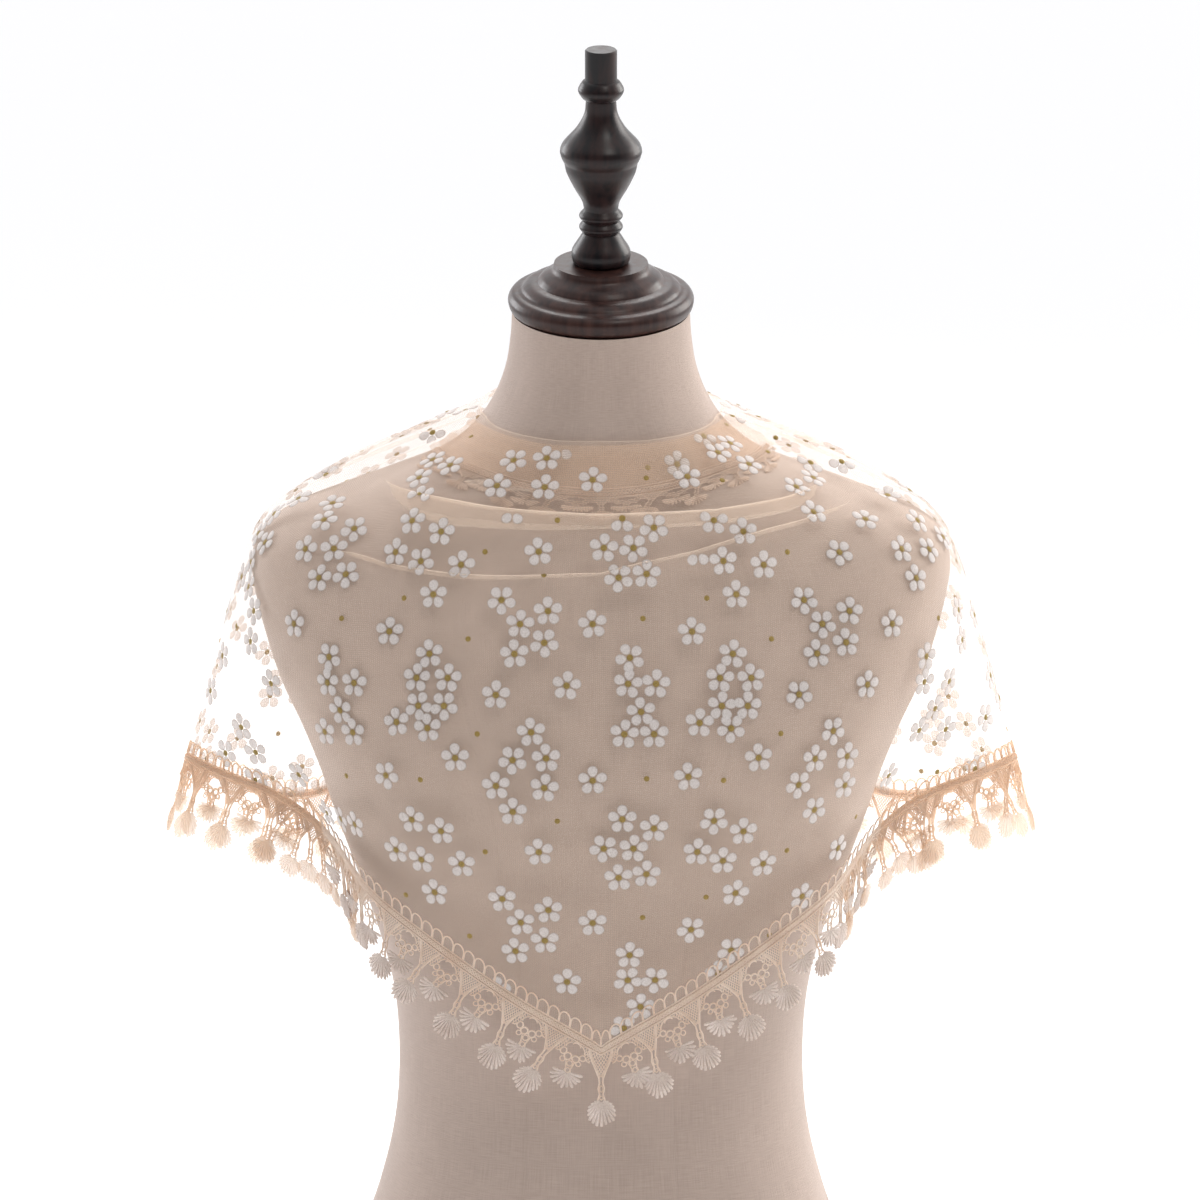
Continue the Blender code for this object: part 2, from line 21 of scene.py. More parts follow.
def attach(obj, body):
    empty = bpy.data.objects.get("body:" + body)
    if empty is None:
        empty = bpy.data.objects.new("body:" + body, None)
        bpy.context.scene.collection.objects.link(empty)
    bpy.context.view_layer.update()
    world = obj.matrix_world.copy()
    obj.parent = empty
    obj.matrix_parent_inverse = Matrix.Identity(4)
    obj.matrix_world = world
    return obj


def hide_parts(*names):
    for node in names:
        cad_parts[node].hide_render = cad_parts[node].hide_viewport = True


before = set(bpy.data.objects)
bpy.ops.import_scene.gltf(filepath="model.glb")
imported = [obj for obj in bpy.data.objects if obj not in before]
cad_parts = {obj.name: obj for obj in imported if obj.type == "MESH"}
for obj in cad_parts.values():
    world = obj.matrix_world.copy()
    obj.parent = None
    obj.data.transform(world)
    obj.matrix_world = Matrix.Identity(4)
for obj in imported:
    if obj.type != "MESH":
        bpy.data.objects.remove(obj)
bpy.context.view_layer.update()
print("frame:", len(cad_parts), "nodes")

# %% [markdown]
# ## The camera
#
# The photograph looks down a little at the front, from some way back. A camera could be moved by
# eye until the two agree. Here its lens and distance come from the form's size in the photograph,
# so that one number can be mended without moving the others.

# %% Camera
PHOTO_SIZE = 1200
SENSOR = 36.0
AIM = Vector((0.0, 0.0, 0.504))
DISTANCE = 2.6
ELEVATION = math.radians(12)
PIXELS_PER_METRE = 1780
SHIFT_PIXELS = -1

camera_data = bpy.data.cameras.new("camera")
camera_data.sensor_width = SENSOR
camera_data.lens = SENSOR * PIXELS_PER_METRE * DISTANCE / PHOTO_SIZE
camera_data.shift_x = SHIFT_PIXELS / PHOTO_SIZE
camera = bpy.data.objects.new("camera", camera_data)
bpy.context.scene.collection.objects.link(camera)
camera.location = AIM + Vector((0, -math.cos(ELEVATION), math.sin(ELEVATION))) * DISTANCE
camera.rotation_euler = (math.pi / 2 - ELEVATION, 0, 0)
bpy.context.scene.camera = camera
bpy.context.scene.view_settings.view_transform = "Standard"
print("camera: lens", round(camera_data.lens, 1), "mm")


# %% [markdown]
# ## Steps that the materials share
#
# Every finish here needs the same few steps: a noise, a change of range, a mix of two colours, a
# bump. They could be added by hand in the shader editor. Small functions for them keep each
# finish short, and keep the scale of its pattern in metres.

# %% Places and noises
def new_material(name, rgb, roughness):
    """A material with one Principled shader. Returns it, its nodes and links, and the shader."""
    made = bpy.data.materials.new(name)
    made.use_nodes = True
    nodes, links = made.node_tree.nodes, made.node_tree.links
    shader = nodes["Principled BSDF"]
    shader.inputs["Base Color"].default_value = (*rgb, 1)
    shader.inputs["Roughness"].default_value = roughness
    shader.inputs["Specular IOR Level"].default_value = 0.3
    return made, nodes, links, shader


def scaled_coordinates(nodes, links, output, scale):
    """Texture coordinates of one kind, with each axis scaled."""
    place = nodes.new("ShaderNodeTexCoord")
    mapping = nodes.new("ShaderNodeMapping")
    mapping.inputs["Scale"].default_value = scale
    links.new(place.outputs[output], mapping.inputs["Vector"])
    return mapping.outputs["Vector"]


def noise_of(nodes, links, vector, scale, detail=2.0):
    """A soft random value. A higher scale makes it finer."""
    noise = nodes.new("ShaderNodeTexNoise")
    noise.inputs["Scale"].default_value = scale
    noise.inputs["Detail"].default_value = detail
    links.new(vector, noise.inputs["Vector"])
    return noise.outputs["Fac"]


print("places and noises are ready")


# %% Sums, ranges and colours
def ranged(nodes, links, value, low, high, to_low, to_high):
    """The value, carried from one range to another and kept inside it."""
    mapped = nodes.new("ShaderNodeMapRange")
    names = ("From Min", "From Max", "To Min", "To Max")
    for name, number in zip(names, (low, high, to_low, to_high)):
        mapped.inputs[name].default_value = number
    links.new(value, mapped.inputs["Value"])
    return mapped.outputs["Result"]


def sums(nodes, links, operation, first, second):
    """One arithmetic step. The second value may be a plain number."""
    step = nodes.new("ShaderNodeMath")
    step.operation = operation
    links.new(first, step.inputs[0])
    if isinstance(second, (int, float)):
        step.inputs[1].default_value = second
    else:
        links.new(second, step.inputs[1])
    return step.outputs[0]


def two_colours(nodes, links, value, first, second):
    """A colour that goes from the first to the second as the value goes from 0 to 1."""
    mix = nodes.new("ShaderNodeMix")
    mix.data_type = "RGBA"
    mix.inputs[6].default_value = (*first, 1)
    mix.inputs[7].default_value = (*second, 1)
    links.new(value, mix.inputs[0])
    return mix.outputs[2]


def mixed_shader(nodes, links, share, first, second):
    """Two shaders in one. The share of the second may be a plain number."""
    mix = nodes.new("ShaderNodeMixShader")
    if isinstance(share, (int, float)):
        mix.inputs["Fac"].default_value = share
    else:
        links.new(share, mix.inputs["Fac"])
    links.new(first, mix.inputs[1])
    links.new(second, mix.inputs[2])
    return mix.outputs[0]


def light_through(nodes, rgb):
    """The light that comes through a thin cloth from behind, in its colour."""
    through = nodes.new("ShaderNodeBsdfTranslucent")
    through.inputs["Color"].default_value = (*rgb, 1)
    return through


def bumped(nodes, links, shader, height, distance, strength):
    """Lets a shader catch the light as if its surface rose and fell with the height."""
    bump = nodes.new("ShaderNodeBump")
    bump.inputs["Distance"].default_value = distance
    bump.inputs["Strength"].default_value = strength
    links.new(height, bump.inputs["Height"])
    links.new(bump.outputs["Normal"], shader.inputs["Normal"])
    return bump.outputs["Normal"]


print("steps for materials are ready")

# %% [markdown]
# ## Floor and light
#
# The studio is white all round, and brighter behind the form than in front of it, so the sheer
# edges and the lace glow and the chest is in soft shade. A panorama could light it. A plain sky
# that brightens towards the back, with four soft lamps, does the same and can be read.

# %% The floor
FLOOR_REACH = 60.0
FLOOR_WHITE = (0.96, 0.96, 0.96)


def make_floor():
    """A wide pale floor, so that it is all that the camera sees behind the object."""
    mesh = bpy.data.meshes.new("floor")
    corners = [(x * FLOOR_REACH, y * FLOOR_REACH, 0) for x, y in ((-1, -1), (1, -1), (1, 1), (-1, 1))]
    mesh.from_pydata(corners, [], [(0, 1, 2, 3)])
    floor = bpy.data.objects.new("floor", mesh)
    bpy.context.scene.collection.objects.link(floor)
    mesh.materials.append(new_material("pale_floor", FLOOR_WHITE, 0.9)[0])


make_floor()
print("floor:", 2 * FLOOR_REACH, "m across")

# %% The studio and its lamps
FRONT_LIGHT, BACK_LIGHT = (0.04, 0.04, 0.04), (1.36, 1.36, 1.38)
# The share of height in how far back a direction counts, and where the change starts and ends.
SKY_TILT, SKY_FROM, SKY_TO = 0.9, -0.6, 0.9
# Columns: place in metres, width in metres, watts, colour.
LAMPS = {
    "window": ((1.7, 0.9, 1.3), 1.2, 31, (1, 0.97, 0.93)),
    "rim": ((-1.7, 1.3, 1.2), 1.0, 19, (0.98, 0.98, 1)),
    "top": ((0.1, 1.3, 2.3), 1.0, 15, (1, 0.98, 0.96)),
    "front": ((0.6, -1.15, 2.1), 0.6, 6.8, (1, 0.96, 0.91)),
}


def make_world():
    """A pale studio all round, brighter behind the object."""
    world = bpy.data.worlds.new("studio")
    bpy.context.scene.world = world
    world.use_nodes = True
    nodes, links = world.node_tree.nodes, world.node_tree.links
    place = nodes.new("ShaderNodeTexCoord")
    axes = nodes.new("ShaderNodeSeparateXYZ")
    links.new(place.outputs["Generated"], axes.inputs[0])
    raised = sums(nodes, links, "MULTIPLY", axes.outputs["Z"], SKY_TILT)
    tilted = sums(nodes, links, "ADD", axes.outputs["Y"], raised)
    back = ranged(nodes, links, tilted, SKY_FROM, SKY_TO, 0, 1)
    colour = two_colours(nodes, links, back, FRONT_LIGHT, BACK_LIGHT)
    links.new(colour, nodes["Background"].inputs["Color"])


def add_area_light(name, place, size, watts, rgb):
    """A square soft lamp that faces the middle of the photograph."""
    data = bpy.data.lights.new(name, "AREA")
    data.size = size
    data.energy = watts
    data.color = rgb
    light = bpy.data.objects.new(name, data)
    bpy.context.scene.collection.objects.link(light)
    light.location = place
    light.rotation_euler = (AIM - Vector(place)).to_track_quat("-Z", "Y").to_euler()


make_world()
for name, lamp in LAMPS.items():
    add_area_light(name, *lamp)
print("studio and lamps:", *LAMPS)


# %% [markdown]
# ## Linen
#
# The form's cover is plain-woven linen, with slubs along the threads of both directions. A
# picture of linen could be wrapped round it. Two stretched noises, one for each direction, give
# the slubs their real size with no seam, and the same value lifts the surface a little.

# %% Linen
SLUBS_ACROSS, SLUBS_DOWN = (70, 1700, 1), (1700, 55, 1)
LINEN_PLAIN = (0.5, 0.39, 0.34)
LINEN_DARK, LINEN_LIGHT = (0.393, 0.308, 0.260), (0.530, 0.422, 0.365)


def linen_material():
    """Plain-woven linen: fine slubs both ways, and a soft unevenness of colour."""
    made, nodes, links, shader = new_material("linen", LINEN_PLAIN, 0.9)
    across = noise_of(nodes, links, scaled_coordinates(nodes, links, "UV", SLUBS_ACROSS), 1.0)
    down = noise_of(nodes, links, scaled_coordinates(nodes, links, "UV", SLUBS_DOWN), 1.0)
    weave = sums(nodes, links, "ADD", across, down)
    patches = noise_of(nodes, links, scaled_coordinates(nodes, links, "UV", (9, 9, 1)), 1.0)
    shade = sums(nodes, links, "ADD", ranged(nodes, links, weave, 0.7, 1.3, 0, 0.6),
                 ranged(nodes, links, patches, 0.3, 0.7, 0, 0.4))
    links.new(two_colours(nodes, links, shade, LINEN_DARK, LINEN_LIGHT), shader.inputs["Base Color"])
    shader.inputs["Sheen Weight"].default_value = 0.25
    shader.inputs["Sheen Roughness"].default_value = 0.5
    bumped(nodes, links, shader, weave, 0.0003, 0.7)
    return made


LINEN = linen_material()
print("material:", LINEN.name)


# %% [markdown]
# ## Dark wood
#
# The cap and the finial are stained nearly black and varnished to a satin. A Wave texture could
# draw rings, but under such a stain only a faint grain shows along the axis, so a noise drawn
# out along it is enough. The cap's copy is lighter than the finial's: painted light, for the
# window light that the cap reflects.

# %% Dark wood
GRAIN = (220, 220, 14)


def wood_material(name, dark, light):
    """Dark stained wood under a satin varnish, with a faint grain along the axis."""
    made, nodes, links, shader = new_material(name, light, 0.35)
    grain = noise_of(nodes, links, scaled_coordinates(nodes, links, "Object", GRAIN), 1.0, 4)
    colour = two_colours(nodes, links, ranged(nodes, links, grain, 0.35, 0.7, 0, 1), dark, light)
    links.new(colour, shader.inputs["Base Color"])
    links.new(ranged(nodes, links, grain, 0.3, 0.7, 0.30, 0.46), shader.inputs["Roughness"])
    shader.inputs["Specular IOR Level"].default_value = 0.24
    shader.inputs["Coat Weight"].default_value = 0.1
    shader.inputs["Coat Roughness"].default_value = 0.2
    bumped(nodes, links, shader, grain, 0.0002, 0.4)
    return made


# The cap's lighter colours are painted light for the window light that it reflects.
LIT_CAP_WOOD = wood_material("lit_cap_wood", (0.020, 0.009, 0.008), (0.050, 0.021, 0.016))
FINIAL_WOOD = wood_material("finial_wood", (0.005, 0.004, 0.005), (0.024, 0.010, 0.009))
print("materials:", LIT_CAP_WOOD.name, FINIAL_WOOD.name)


# %% [markdown]
# ## Sheer net
#
# The net is fine peach thread round open cells of about a millimetre. It could be one even,
# half-clear sheet. Cells drawn by a Voronoi pattern hold more light at their threads, and along
# a crease, where the cloth is seen edge on, the cover rises. Part of the light comes through.

# %% Sheer net
CELLS_PER_METRE = 950
THREAD_EDGE, CELL_EDGE = 0.08, 0.2


def sheer_material(name, rgb, glow, open_share, thread_share):
    """Net: threads round open cells about a millimetre across, lit through as well as from outside."""
    made, nodes, links, shader = new_material(name, rgb, 0.8)
    cells = nodes.new("ShaderNodeTexVoronoi")
    cells.voronoi_dimensions = "2D"
    cells.feature = "DISTANCE_TO_EDGE"
    cells.inputs["Scale"].default_value = CELLS_PER_METRE
    cells.inputs["Randomness"].default_value = 0.25
    links.new(scaled_coordinates(nodes, links, "UV", (1, 1, 1)), cells.inputs["Vector"])
    cover = ranged(nodes, links, cells.outputs["Distance"], THREAD_EDGE, CELL_EDGE, thread_share, open_share)
    crease = nodes.new("ShaderNodeAttribute")
    crease.attribute_name = "crease"
    creased = sums(nodes, links, "MULTIPLY", crease.outputs["Fac"], 0.8)
    cover = sums(nodes, links, "MAXIMUM", cover, creased)
    shader.inputs["Sheen Weight"].default_value = 0.3
    cloth = mixed_shader(nodes, links, 0.45, shader.outputs[0], light_through(nodes, glow).outputs[0])
    clear = nodes.new("ShaderNodeBsdfTransparent").outputs[0]
    whole = mixed_shader(nodes, links, cover, clear, cloth)
    links.new(whole, nodes["Material Output"].inputs["Surface"])
    return made


NET = sheer_material("sheer_net", (0.98, 0.80, 0.64), (0.99, 0.89, 0.79), 0.05, 0.37)
WOUND_NET = sheer_material("wound_net", (0.93, 0.68, 0.49), (0.95, 0.76, 0.60), 0.26, 0.60)
print("materials:", NET.name, WOUND_NET.name)


# %% [markdown]
# ## Lace thread
#
# The trim is worked in peach thread, and its shells in a shinier one. One plain colour would do
# for a far view. Near to, a twist along each tube, a fuzz and soft patches of colour make it
# thread. Over the shoulders the light stands behind the lace, so the lace there takes backlit
# copies of the threads: more light comes through them and between their fibres to the white
# behind, and the shells' copy is painted paler, as painted light for that backlight.

# %% Lace thread
TWIST = (2200, 9, 1)
FUZZ_PER_METRE, PATCHES_PER_METRE = 1400, 60
# Columns: dark, light, the light that comes through, its share, and the share that is open.
THREADS = {
    "peach_thread": ((0.80, 0.58, 0.44), (1.0, 0.86, 0.74), (1.0, 0.83, 0.64), 0.12, 0.03),
    "braid_ground": ((0.78, 0.54, 0.38), (0.94, 0.71, 0.54), (1.0, 0.81, 0.63), 0.45, 0.22),
    "satin_thread": ((0.60, 0.47, 0.40), (1.0, 0.90, 0.84), (1.0, 0.82, 0.64), 0.16, 0.04),
    # Backlit copies for the lace off the front: larger shares of light through and open, and for the shells
    # paler colours, painted light for the light behind.
    "backlit_thread": ((0.80, 0.60, 0.44), (1.0, 0.86, 0.72), (1.0, 0.80, 0.62), 0.48, 0.2),
    "backlit_satin": ((0.84, 0.67, 0.54), (1.0, 0.88, 0.77), (1.0, 0.82, 0.65), 0.42, 0.46),
    "wound_thread": ((0.84, 0.62, 0.48), (0.97, 0.79, 0.66), (1.0, 0.76, 0.57), 0.1, 0.25),
}


def thread_material(name, dark, light, glow, through_share, open_share):
    """Cotton thread: a fine twist, uneven colour, some light coming through and between the fibres."""
    made, nodes, links, shader = new_material(name, light, 0.75)
    twist = nodes.new("ShaderNodeTexWave")
    twist.inputs["Scale"].default_value = 0.32
    twist.inputs["Distortion"].default_value = 1.5
    links.new(scaled_coordinates(nodes, links, "UV", TWIST), twist.inputs["Vector"])
    place = scaled_coordinates(nodes, links, "Object", (1, 1, 1))
    fuzz = noise_of(nodes, links, place, FUZZ_PER_METRE)
    patches = noise_of(nodes, links, place, PATCHES_PER_METRE)
    shade = sums(nodes, links, "ADD", ranged(nodes, links, fuzz, 0.3, 0.7, 0, 0.5),
                 ranged(nodes, links, patches, 0.3, 0.7, 0, 0.5))
    links.new(two_colours(nodes, links, shade, dark, light), shader.inputs["Base Color"])
    shader.inputs["Sheen Weight"].default_value = 0.35
    relief = sums(nodes, links, "ADD", twist.outputs["Fac"], fuzz)
    normal = bumped(nodes, links, shader, relief, 0.0002, 0.6)
    through = light_through(nodes, glow)
    links.new(normal, through.inputs["Normal"])
    both = mixed_shader(nodes, links, through_share, shader.outputs[0], through.outputs[0])
    clear = nodes.new("ShaderNodeBsdfTransparent").outputs[0]
    fibres = mixed_shader(nodes, links, open_share, both, clear)
    links.new(fibres, nodes["Material Output"].inputs["Surface"])
    return made


THREAD, GROUND, SATIN, BACKLIT_THREAD, BACKLIT_SATIN, WOUND_THREAD = (
    thread_material(name, *row) for name, row in THREADS.items())
print("materials:", *THREADS)


# %% [markdown]
# ## Flock
#
# The daisies are short white pile, blown onto glue that was printed on the net, and their hearts
# are gold. Hair would be far too heavy for hundreds of petals. A fine noise gives the pile its
# grain, and a value kept at each petal's outline darkens it there, as painted shade at the
# petal's edge.

# %% Flock
def flock_material(name, dark, light, scale, height, through_share):
    """Short flock: a soft matt pile with a fine unevenness, and painted shade darkening the rim."""
    made, nodes, links, shader = new_material(name, light, 0.95)
    pile = noise_of(nodes, links, scaled_coordinates(nodes, links, "Object", (1, 1, 1)), scale, 3)
    # The rim value darkens each petal's outline: painted shade at its edge.
    rim = nodes.new("ShaderNodeAttribute")
    rim.attribute_name = "rim"
    lit = sums(nodes, links, "SUBTRACT", ranged(nodes, links, pile, 0.3, 0.7, 0.3, 1),
               ranged(nodes, links, rim.outputs["Fac"], 0.35, 1, 0, 1.3))
    links.new(two_colours(nodes, links, sums(nodes, links, "MAXIMUM", lit, 0.0), dark, light),
              shader.inputs["Base Color"])
    shader.inputs["Sheen Weight"].default_value = 0.3
    bumped(nodes, links, shader, pile, height, 0.8)
    through = light_through(nodes, light).outputs[0]
    both = mixed_shader(nodes, links, through_share, shader.outputs[0], through)
    links.new(both, nodes["Material Output"].inputs["Surface"])
    return made


PETAL = flock_material("white_flock", (0.40, 0.35, 0.32), (0.92, 0.89, 0.88), 1600, 0.00025, 0.3)
HEART = flock_material("gold_flock", (0.10, 0.07, 0.02), (0.42, 0.30, 0.09), 1500, 0.0003, 0.1)
print("materials in all:", len(bpy.data.materials))


# %% [markdown]
# ## Steps that the pieces share
#
# Every surface here is a grid of points: columns round or along the piece, and rows down it.
# Blender's own modifiers could fill in between a few points, but the lace has to be set on the
# finished net, so the smooth surface is worked out first and becomes a plain mesh.

# %% Making a piece
def new_piece(name, points, faces, material, uv=None):
    """A smooth mesh object that rides on the form. uv gives a place on the flat piece per point."""
    mesh = bpy.data.meshes.new(name)
    if isinstance(faces, np.ndarray):
        faces = faces.tolist()
    mesh.from_pydata(points.tolist(), [], faces)
    mesh.shade_smooth()
    mesh.materials.append(material)
    if uv is not None:
        corners = np.empty(len(mesh.loops), np.int32)
        mesh.loops.foreach_get("vertex_index", corners)
        layer = mesh.uv_layers.new(name="flat")
        layer.data.foreach_set("uv", uv.astype(np.float32)[corners].ravel())
    obj = bpy.data.objects.new(name, mesh)
    bpy.context.scene.collection.objects.link(obj)
    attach(obj, "root")
    triangles = sum(len(face.vertices) - 2 for face in mesh.polygons)
    print(f"{name}: {len(mesh.vertices)} points, {triangles} triangles")
    return obj


def grid_faces(columns, rows, closed=False):
    """The faces of a grid whose columns run down, facing out where columns go round to +X."""
    steps = columns if closed else columns - 1
    a, b = np.meshgrid(np.arange(steps), np.arange(rows - 1), indexing="ij")
    first, second = a * rows + b, (a + 1) % columns * rows + b
    return np.stack([first, first + 1, second + 1, second], axis=-1).reshape(-1, 4)


# %% Smooth curves and nearest places
def smooth_shares(count, t):
    """The share that each of count rows has in the smooth curve through them, at each t."""
    i = np.clip(t.astype(int), 0, count - 2)
    f = t - i
    here, after = (1 + 2 * f) * (1 - f) ** 2, f**2 * (3 - 2 * f)
    slope_here, slope_after = f * (1 - f) ** 2 / 2, f**2 * (f - 1) / 2
    shares = np.zeros((len(t), count))
    k = np.arange(len(t))
    for row, share in ((i, here - slope_after), (i + 1, after + slope_here)):
        np.add.at(shares, (k, row), share)
    first, last = i == 0, i == count - 2
    np.add.at(shares, (k, np.maximum(i - 1, 0)), np.where(first, -2 * slope_here, -slope_here))
    np.add.at(shares, (k, np.where(first, 1, i)), np.where(first, slope_here, 0))
    np.add.at(shares, (k, np.minimum(i + 2, count - 1)), np.where(last, 2 * slope_after, slope_after))
    np.add.at(shares, (k, i), np.where(last, -slope_after, 0))
    return shares


def tree_of(points, faces):
    """A surface that can be asked for its nearest place, or for where a ray meets it."""
    return BVHTree.FromPolygons([Vector(point) for point in points], faces.tolist())


def units(vectors):
    """The same directions, each of length one."""
    return vectors / np.maximum(np.linalg.norm(vectors, axis=-1, keepdims=True), 1e-12)


print("steps for pieces are ready")

# %% [markdown]
# ## The torso
#
# A limbless torso, padded over a hollow shell and covered in linen that is seamed at the centre,
# over the bust and at the sides. It could be sculpted. A loft through level sections needs one
# row of numbers for each, and the solid goes through the same rows with fewer sides. At a seam
# one column is drawn in between two others that stand close to it.

# %% The torso's sections
# Columns: height, half the width, depth in front, depth behind, the middle's place along Y, how
# square the section is (2 is an ellipse), and its lean in degrees.
TORSO = np.array((
    (0.000, 0.1560, 0.098, 0.1200, 0.000, 2.20, 0),
    (0.040, 0.1590, 0.101, 0.1305, 0.000, 2.20, 0),
    (0.080, 0.1530, 0.101, 0.1250, 0.000, 2.20, 0),
    (0.120, 0.1420, 0.097, 0.1100, 0.000, 2.20, 0),
    (0.160, 0.1280, 0.091, 0.090, 0.000, 2.20, 0),
    (0.200, 0.1185, 0.085, 0.078, 0.000, 2.20, 0),
    (0.240, 0.1155, 0.083, 0.074, 0.000, 2.20, 0),
    (0.280, 0.1180, 0.087, 0.077, 0.000, 2.20, 0),
    (0.315, 0.1265, 0.095, 0.082, 0.000, 2.20, 0),
    (0.350, 0.1380, 0.106, 0.087, 0.000, 2.25, 0),
    (0.385, 0.1500, 0.119, 0.092, 0.000, 2.30, 0),
    (0.415, 0.1595, 0.126, 0.095, 0.000, 2.35, 0),
    (0.440, 0.1690, 0.127, 0.097, 0.000, 2.45, 0),
    (0.465, 0.1800, 0.123, 0.098, 0.000, 2.55, 0),
    (0.490, 0.1880, 0.115, 0.098, 0.001, 2.60, 0),
    (0.512, 0.1935, 0.106, 0.096, 0.002, 2.60, 0),
    (0.530, 0.1955, 0.097, 0.091, 0.003, 2.55, 0),
    (0.545, 0.1900, 0.089, 0.086, 0.004, 2.45, 0),
    (0.557, 0.1730, 0.083, 0.080, 0.005, 2.30, 0),
    (0.568, 0.1460, 0.076, 0.073, 0.005, 2.20, 0),
    (0.578, 0.1200, 0.070, 0.066, 0.004, 2.10, 0),
    (0.590, 0.0900, 0.064, 0.059, 0.002, 2.05, 1),
    (0.604, 0.0715, 0.060, 0.056, 0.000, 2.00, 3),
    (0.620, 0.0600, 0.056, 0.053, -0.003, 2.00, 6),
    (0.638, 0.0530, 0.052, 0.051, -0.007, 2.00, 9),
    (0.656, 0.0500, 0.050, 0.050, -0.011, 2.00, 11),
    (0.671, 0.0490, 0.0495, 0.0495, -0.014, 2.00, 11),
))
print("torso:", len(TORSO), "sections")

# %% The torso
TORSO_SIDES = 144
TORSO_FINENESS = 5
# How far the lowest section is raised, so that the edge under it is rounded, and the share of
# the base that the ring inside that edge leaves out.
BASE_RISE, BASE_INSET = 0.002, 0.03
BASE_MIDDLE = (0.0, 0.005, 0.0)
# Each seam's place round the form in degrees from +X, and how far the stitches draw it in.
SEAMS = (0.5, 70, 90, 110, 179.5, 251.5, 270.8, 288.5)
SEAM_DEPTH, SEAM_WIDTH, SEAM_TOP = 0.0003, 0.35, 0.60


def torso_angles():
    """Even steps round the form, with a narrow pair of steps at each seam."""
    even = np.linspace(0, 360, TORSO_SIDES, endpoint=False)
    seams = np.array(SEAMS)
    far = np.min(np.abs(even[:, None] - seams[None]), axis=1) > SEAM_WIDTH * 1.6
    return np.sort(np.concatenate([even[far], seams, seams - SEAM_WIDTH, seams + SEAM_WIDTH]))


def make_torso():
    """Makes the linen cover, and returns its surface for the cloth to rest on."""
    rows = smooth_shares(len(TORSO), np.arange(0, len(TORSO) - 1 + 1e-9, 1 / TORSO_FINENESS)) @ TORSO
    angles = torso_angles()
    c, s = np.cos(np.radians(angles)), np.sin(np.radians(angles))
    z, half, front, back, middle, square, lean = (rows[:, k][None] for k in range(7))
    x = half * np.sign(c)[:, None] * np.abs(c)[:, None] ** (2 / square)
    y = np.where(s[:, None] > 0, back, front) * np.sign(s)[:, None] * np.abs(s)[:, None] ** (2 / square)
    drawn = np.min(np.abs(angles[:, None] - np.array(SEAMS)), axis=1) < 1e-6
    inward = 1 - drawn[:, None] * (z < SEAM_TOP) * SEAM_DEPTH / np.hypot(x, y)
    points = np.stack([x * inward, middle + y * inward, z + y * np.tan(np.radians(lean))], axis=-1)
    points = points[:, ::-1]
    below = points[:, -1:].copy()
    points[:, -1] += (0, 0, BASE_RISE)
    inner = below - (below - BASE_MIDDLE) * (BASE_INSET, BASE_INSET, 0)
    points = np.concatenate([points, inner, np.broadcast_to(BASE_MIDDLE, inner.shape)], axis=1)
    faces = grid_faces(len(angles), points.shape[1], closed=True)
    uv = np.stack(np.broadcast_arrays((angles / 360)[:, None], points[:, :, 2]), axis=-1)
    flat = points.reshape(-1, 3)
    obj = new_piece("form_cover", flat, faces, LINEN, uv.reshape(-1, 2))
    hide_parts("form_torso")
    return tree_of(flat, faces)


FORM = make_torso()

# %% [markdown]
# ## The cap and the finial
#
# Both were turned on a lathe, so one profile gives all of each shape. A Screw modifier could
# turn it. Here the points are turned directly, because the smooth stretches of the profile can
# then be rounded one by one, and the sharp edges between them stay sharp.

# %% Two profiles
NECK_LEAN = math.radians(11)
NECK_TOP = Vector((0.0, -0.014, 0.671))
# Columns: radius, height, and 1 where the profile turns sharply.
CAP = (
    (0.0, 0.0270, 1), (0.0258, 0.0270, 1), (0.0272, 0.0232, 0), (0.0322, 0.0200, 0),
    (0.0345, 0.0175, 1), (0.0350, 0.0166, 1), (0.0395, 0.0158, 0), (0.0425, 0.0140, 0),
    (0.0440, 0.0122, 1), (0.0452, 0.0116, 1), (0.0490, 0.0106, 0), (0.0512, 0.0070, 0),
    (0.0505, 0.0025, 0), (0.0490, 0.0003, 1), (0.0, 0.0003, 1),
)
FINIAL = (
    (0.0, 0.1480, 1), (0.0080, 0.1480, 1), (0.0087, 0.1473, 1), (0.0087, 0.1312, 1),
    (0.0105, 0.1297, 0), (0.0125, 0.1255, 0), (0.0105, 0.1215, 0), (0.0082, 0.1196, 1),
    (0.0092, 0.1120, 0), (0.0135, 0.1040, 0), (0.0205, 0.0960, 0), (0.0222, 0.0925, 1),
    (0.0224, 0.0905, 1), (0.0215, 0.0875, 0), (0.0200, 0.0845, 1), (0.0199, 0.0838, 1),
    (0.0188, 0.0790, 0), (0.0150, 0.0710, 0), (0.0105, 0.0630, 0), (0.0093, 0.0580, 1),
    (0.0120, 0.0545, 0), (0.0100, 0.0512, 1), (0.0120, 0.0480, 0), (0.0100, 0.0445, 1),
    (0.0125, 0.0405, 0), (0.0160, 0.0345, 0), (0.0158, 0.0290, 0), (0.0140, 0.0273, 1),
    (0.0, 0.0273, 1),
)
print("profiles:", len(CAP), "and", len(FINIAL), "points")

# %% Turning them
TURNS = 96
PROFILE_FINENESS = 5
SHARP_EDGE = math.radians(40)


def smooth_profile(profile):
    """The profile's smooth stretches rounded between its sharp points."""
    profile = np.array(profile)
    sharp = [k for k, row in enumerate(profile) if row[2] == 1]
    out = [profile[0, :2]]
    for a, b in zip(sharp, sharp[1:]):
        stretch = profile[a:b + 1, :2]
        steps = (len(stretch) - 1) * (PROFILE_FINENESS if len(stretch) > 2 else 1)
        t = np.linspace(0, len(stretch) - 1, steps + 1)[1:]
        out.extend(smooth_shares(len(stretch), t) @ stretch)
    return np.maximum(np.array(out), (0, -1))


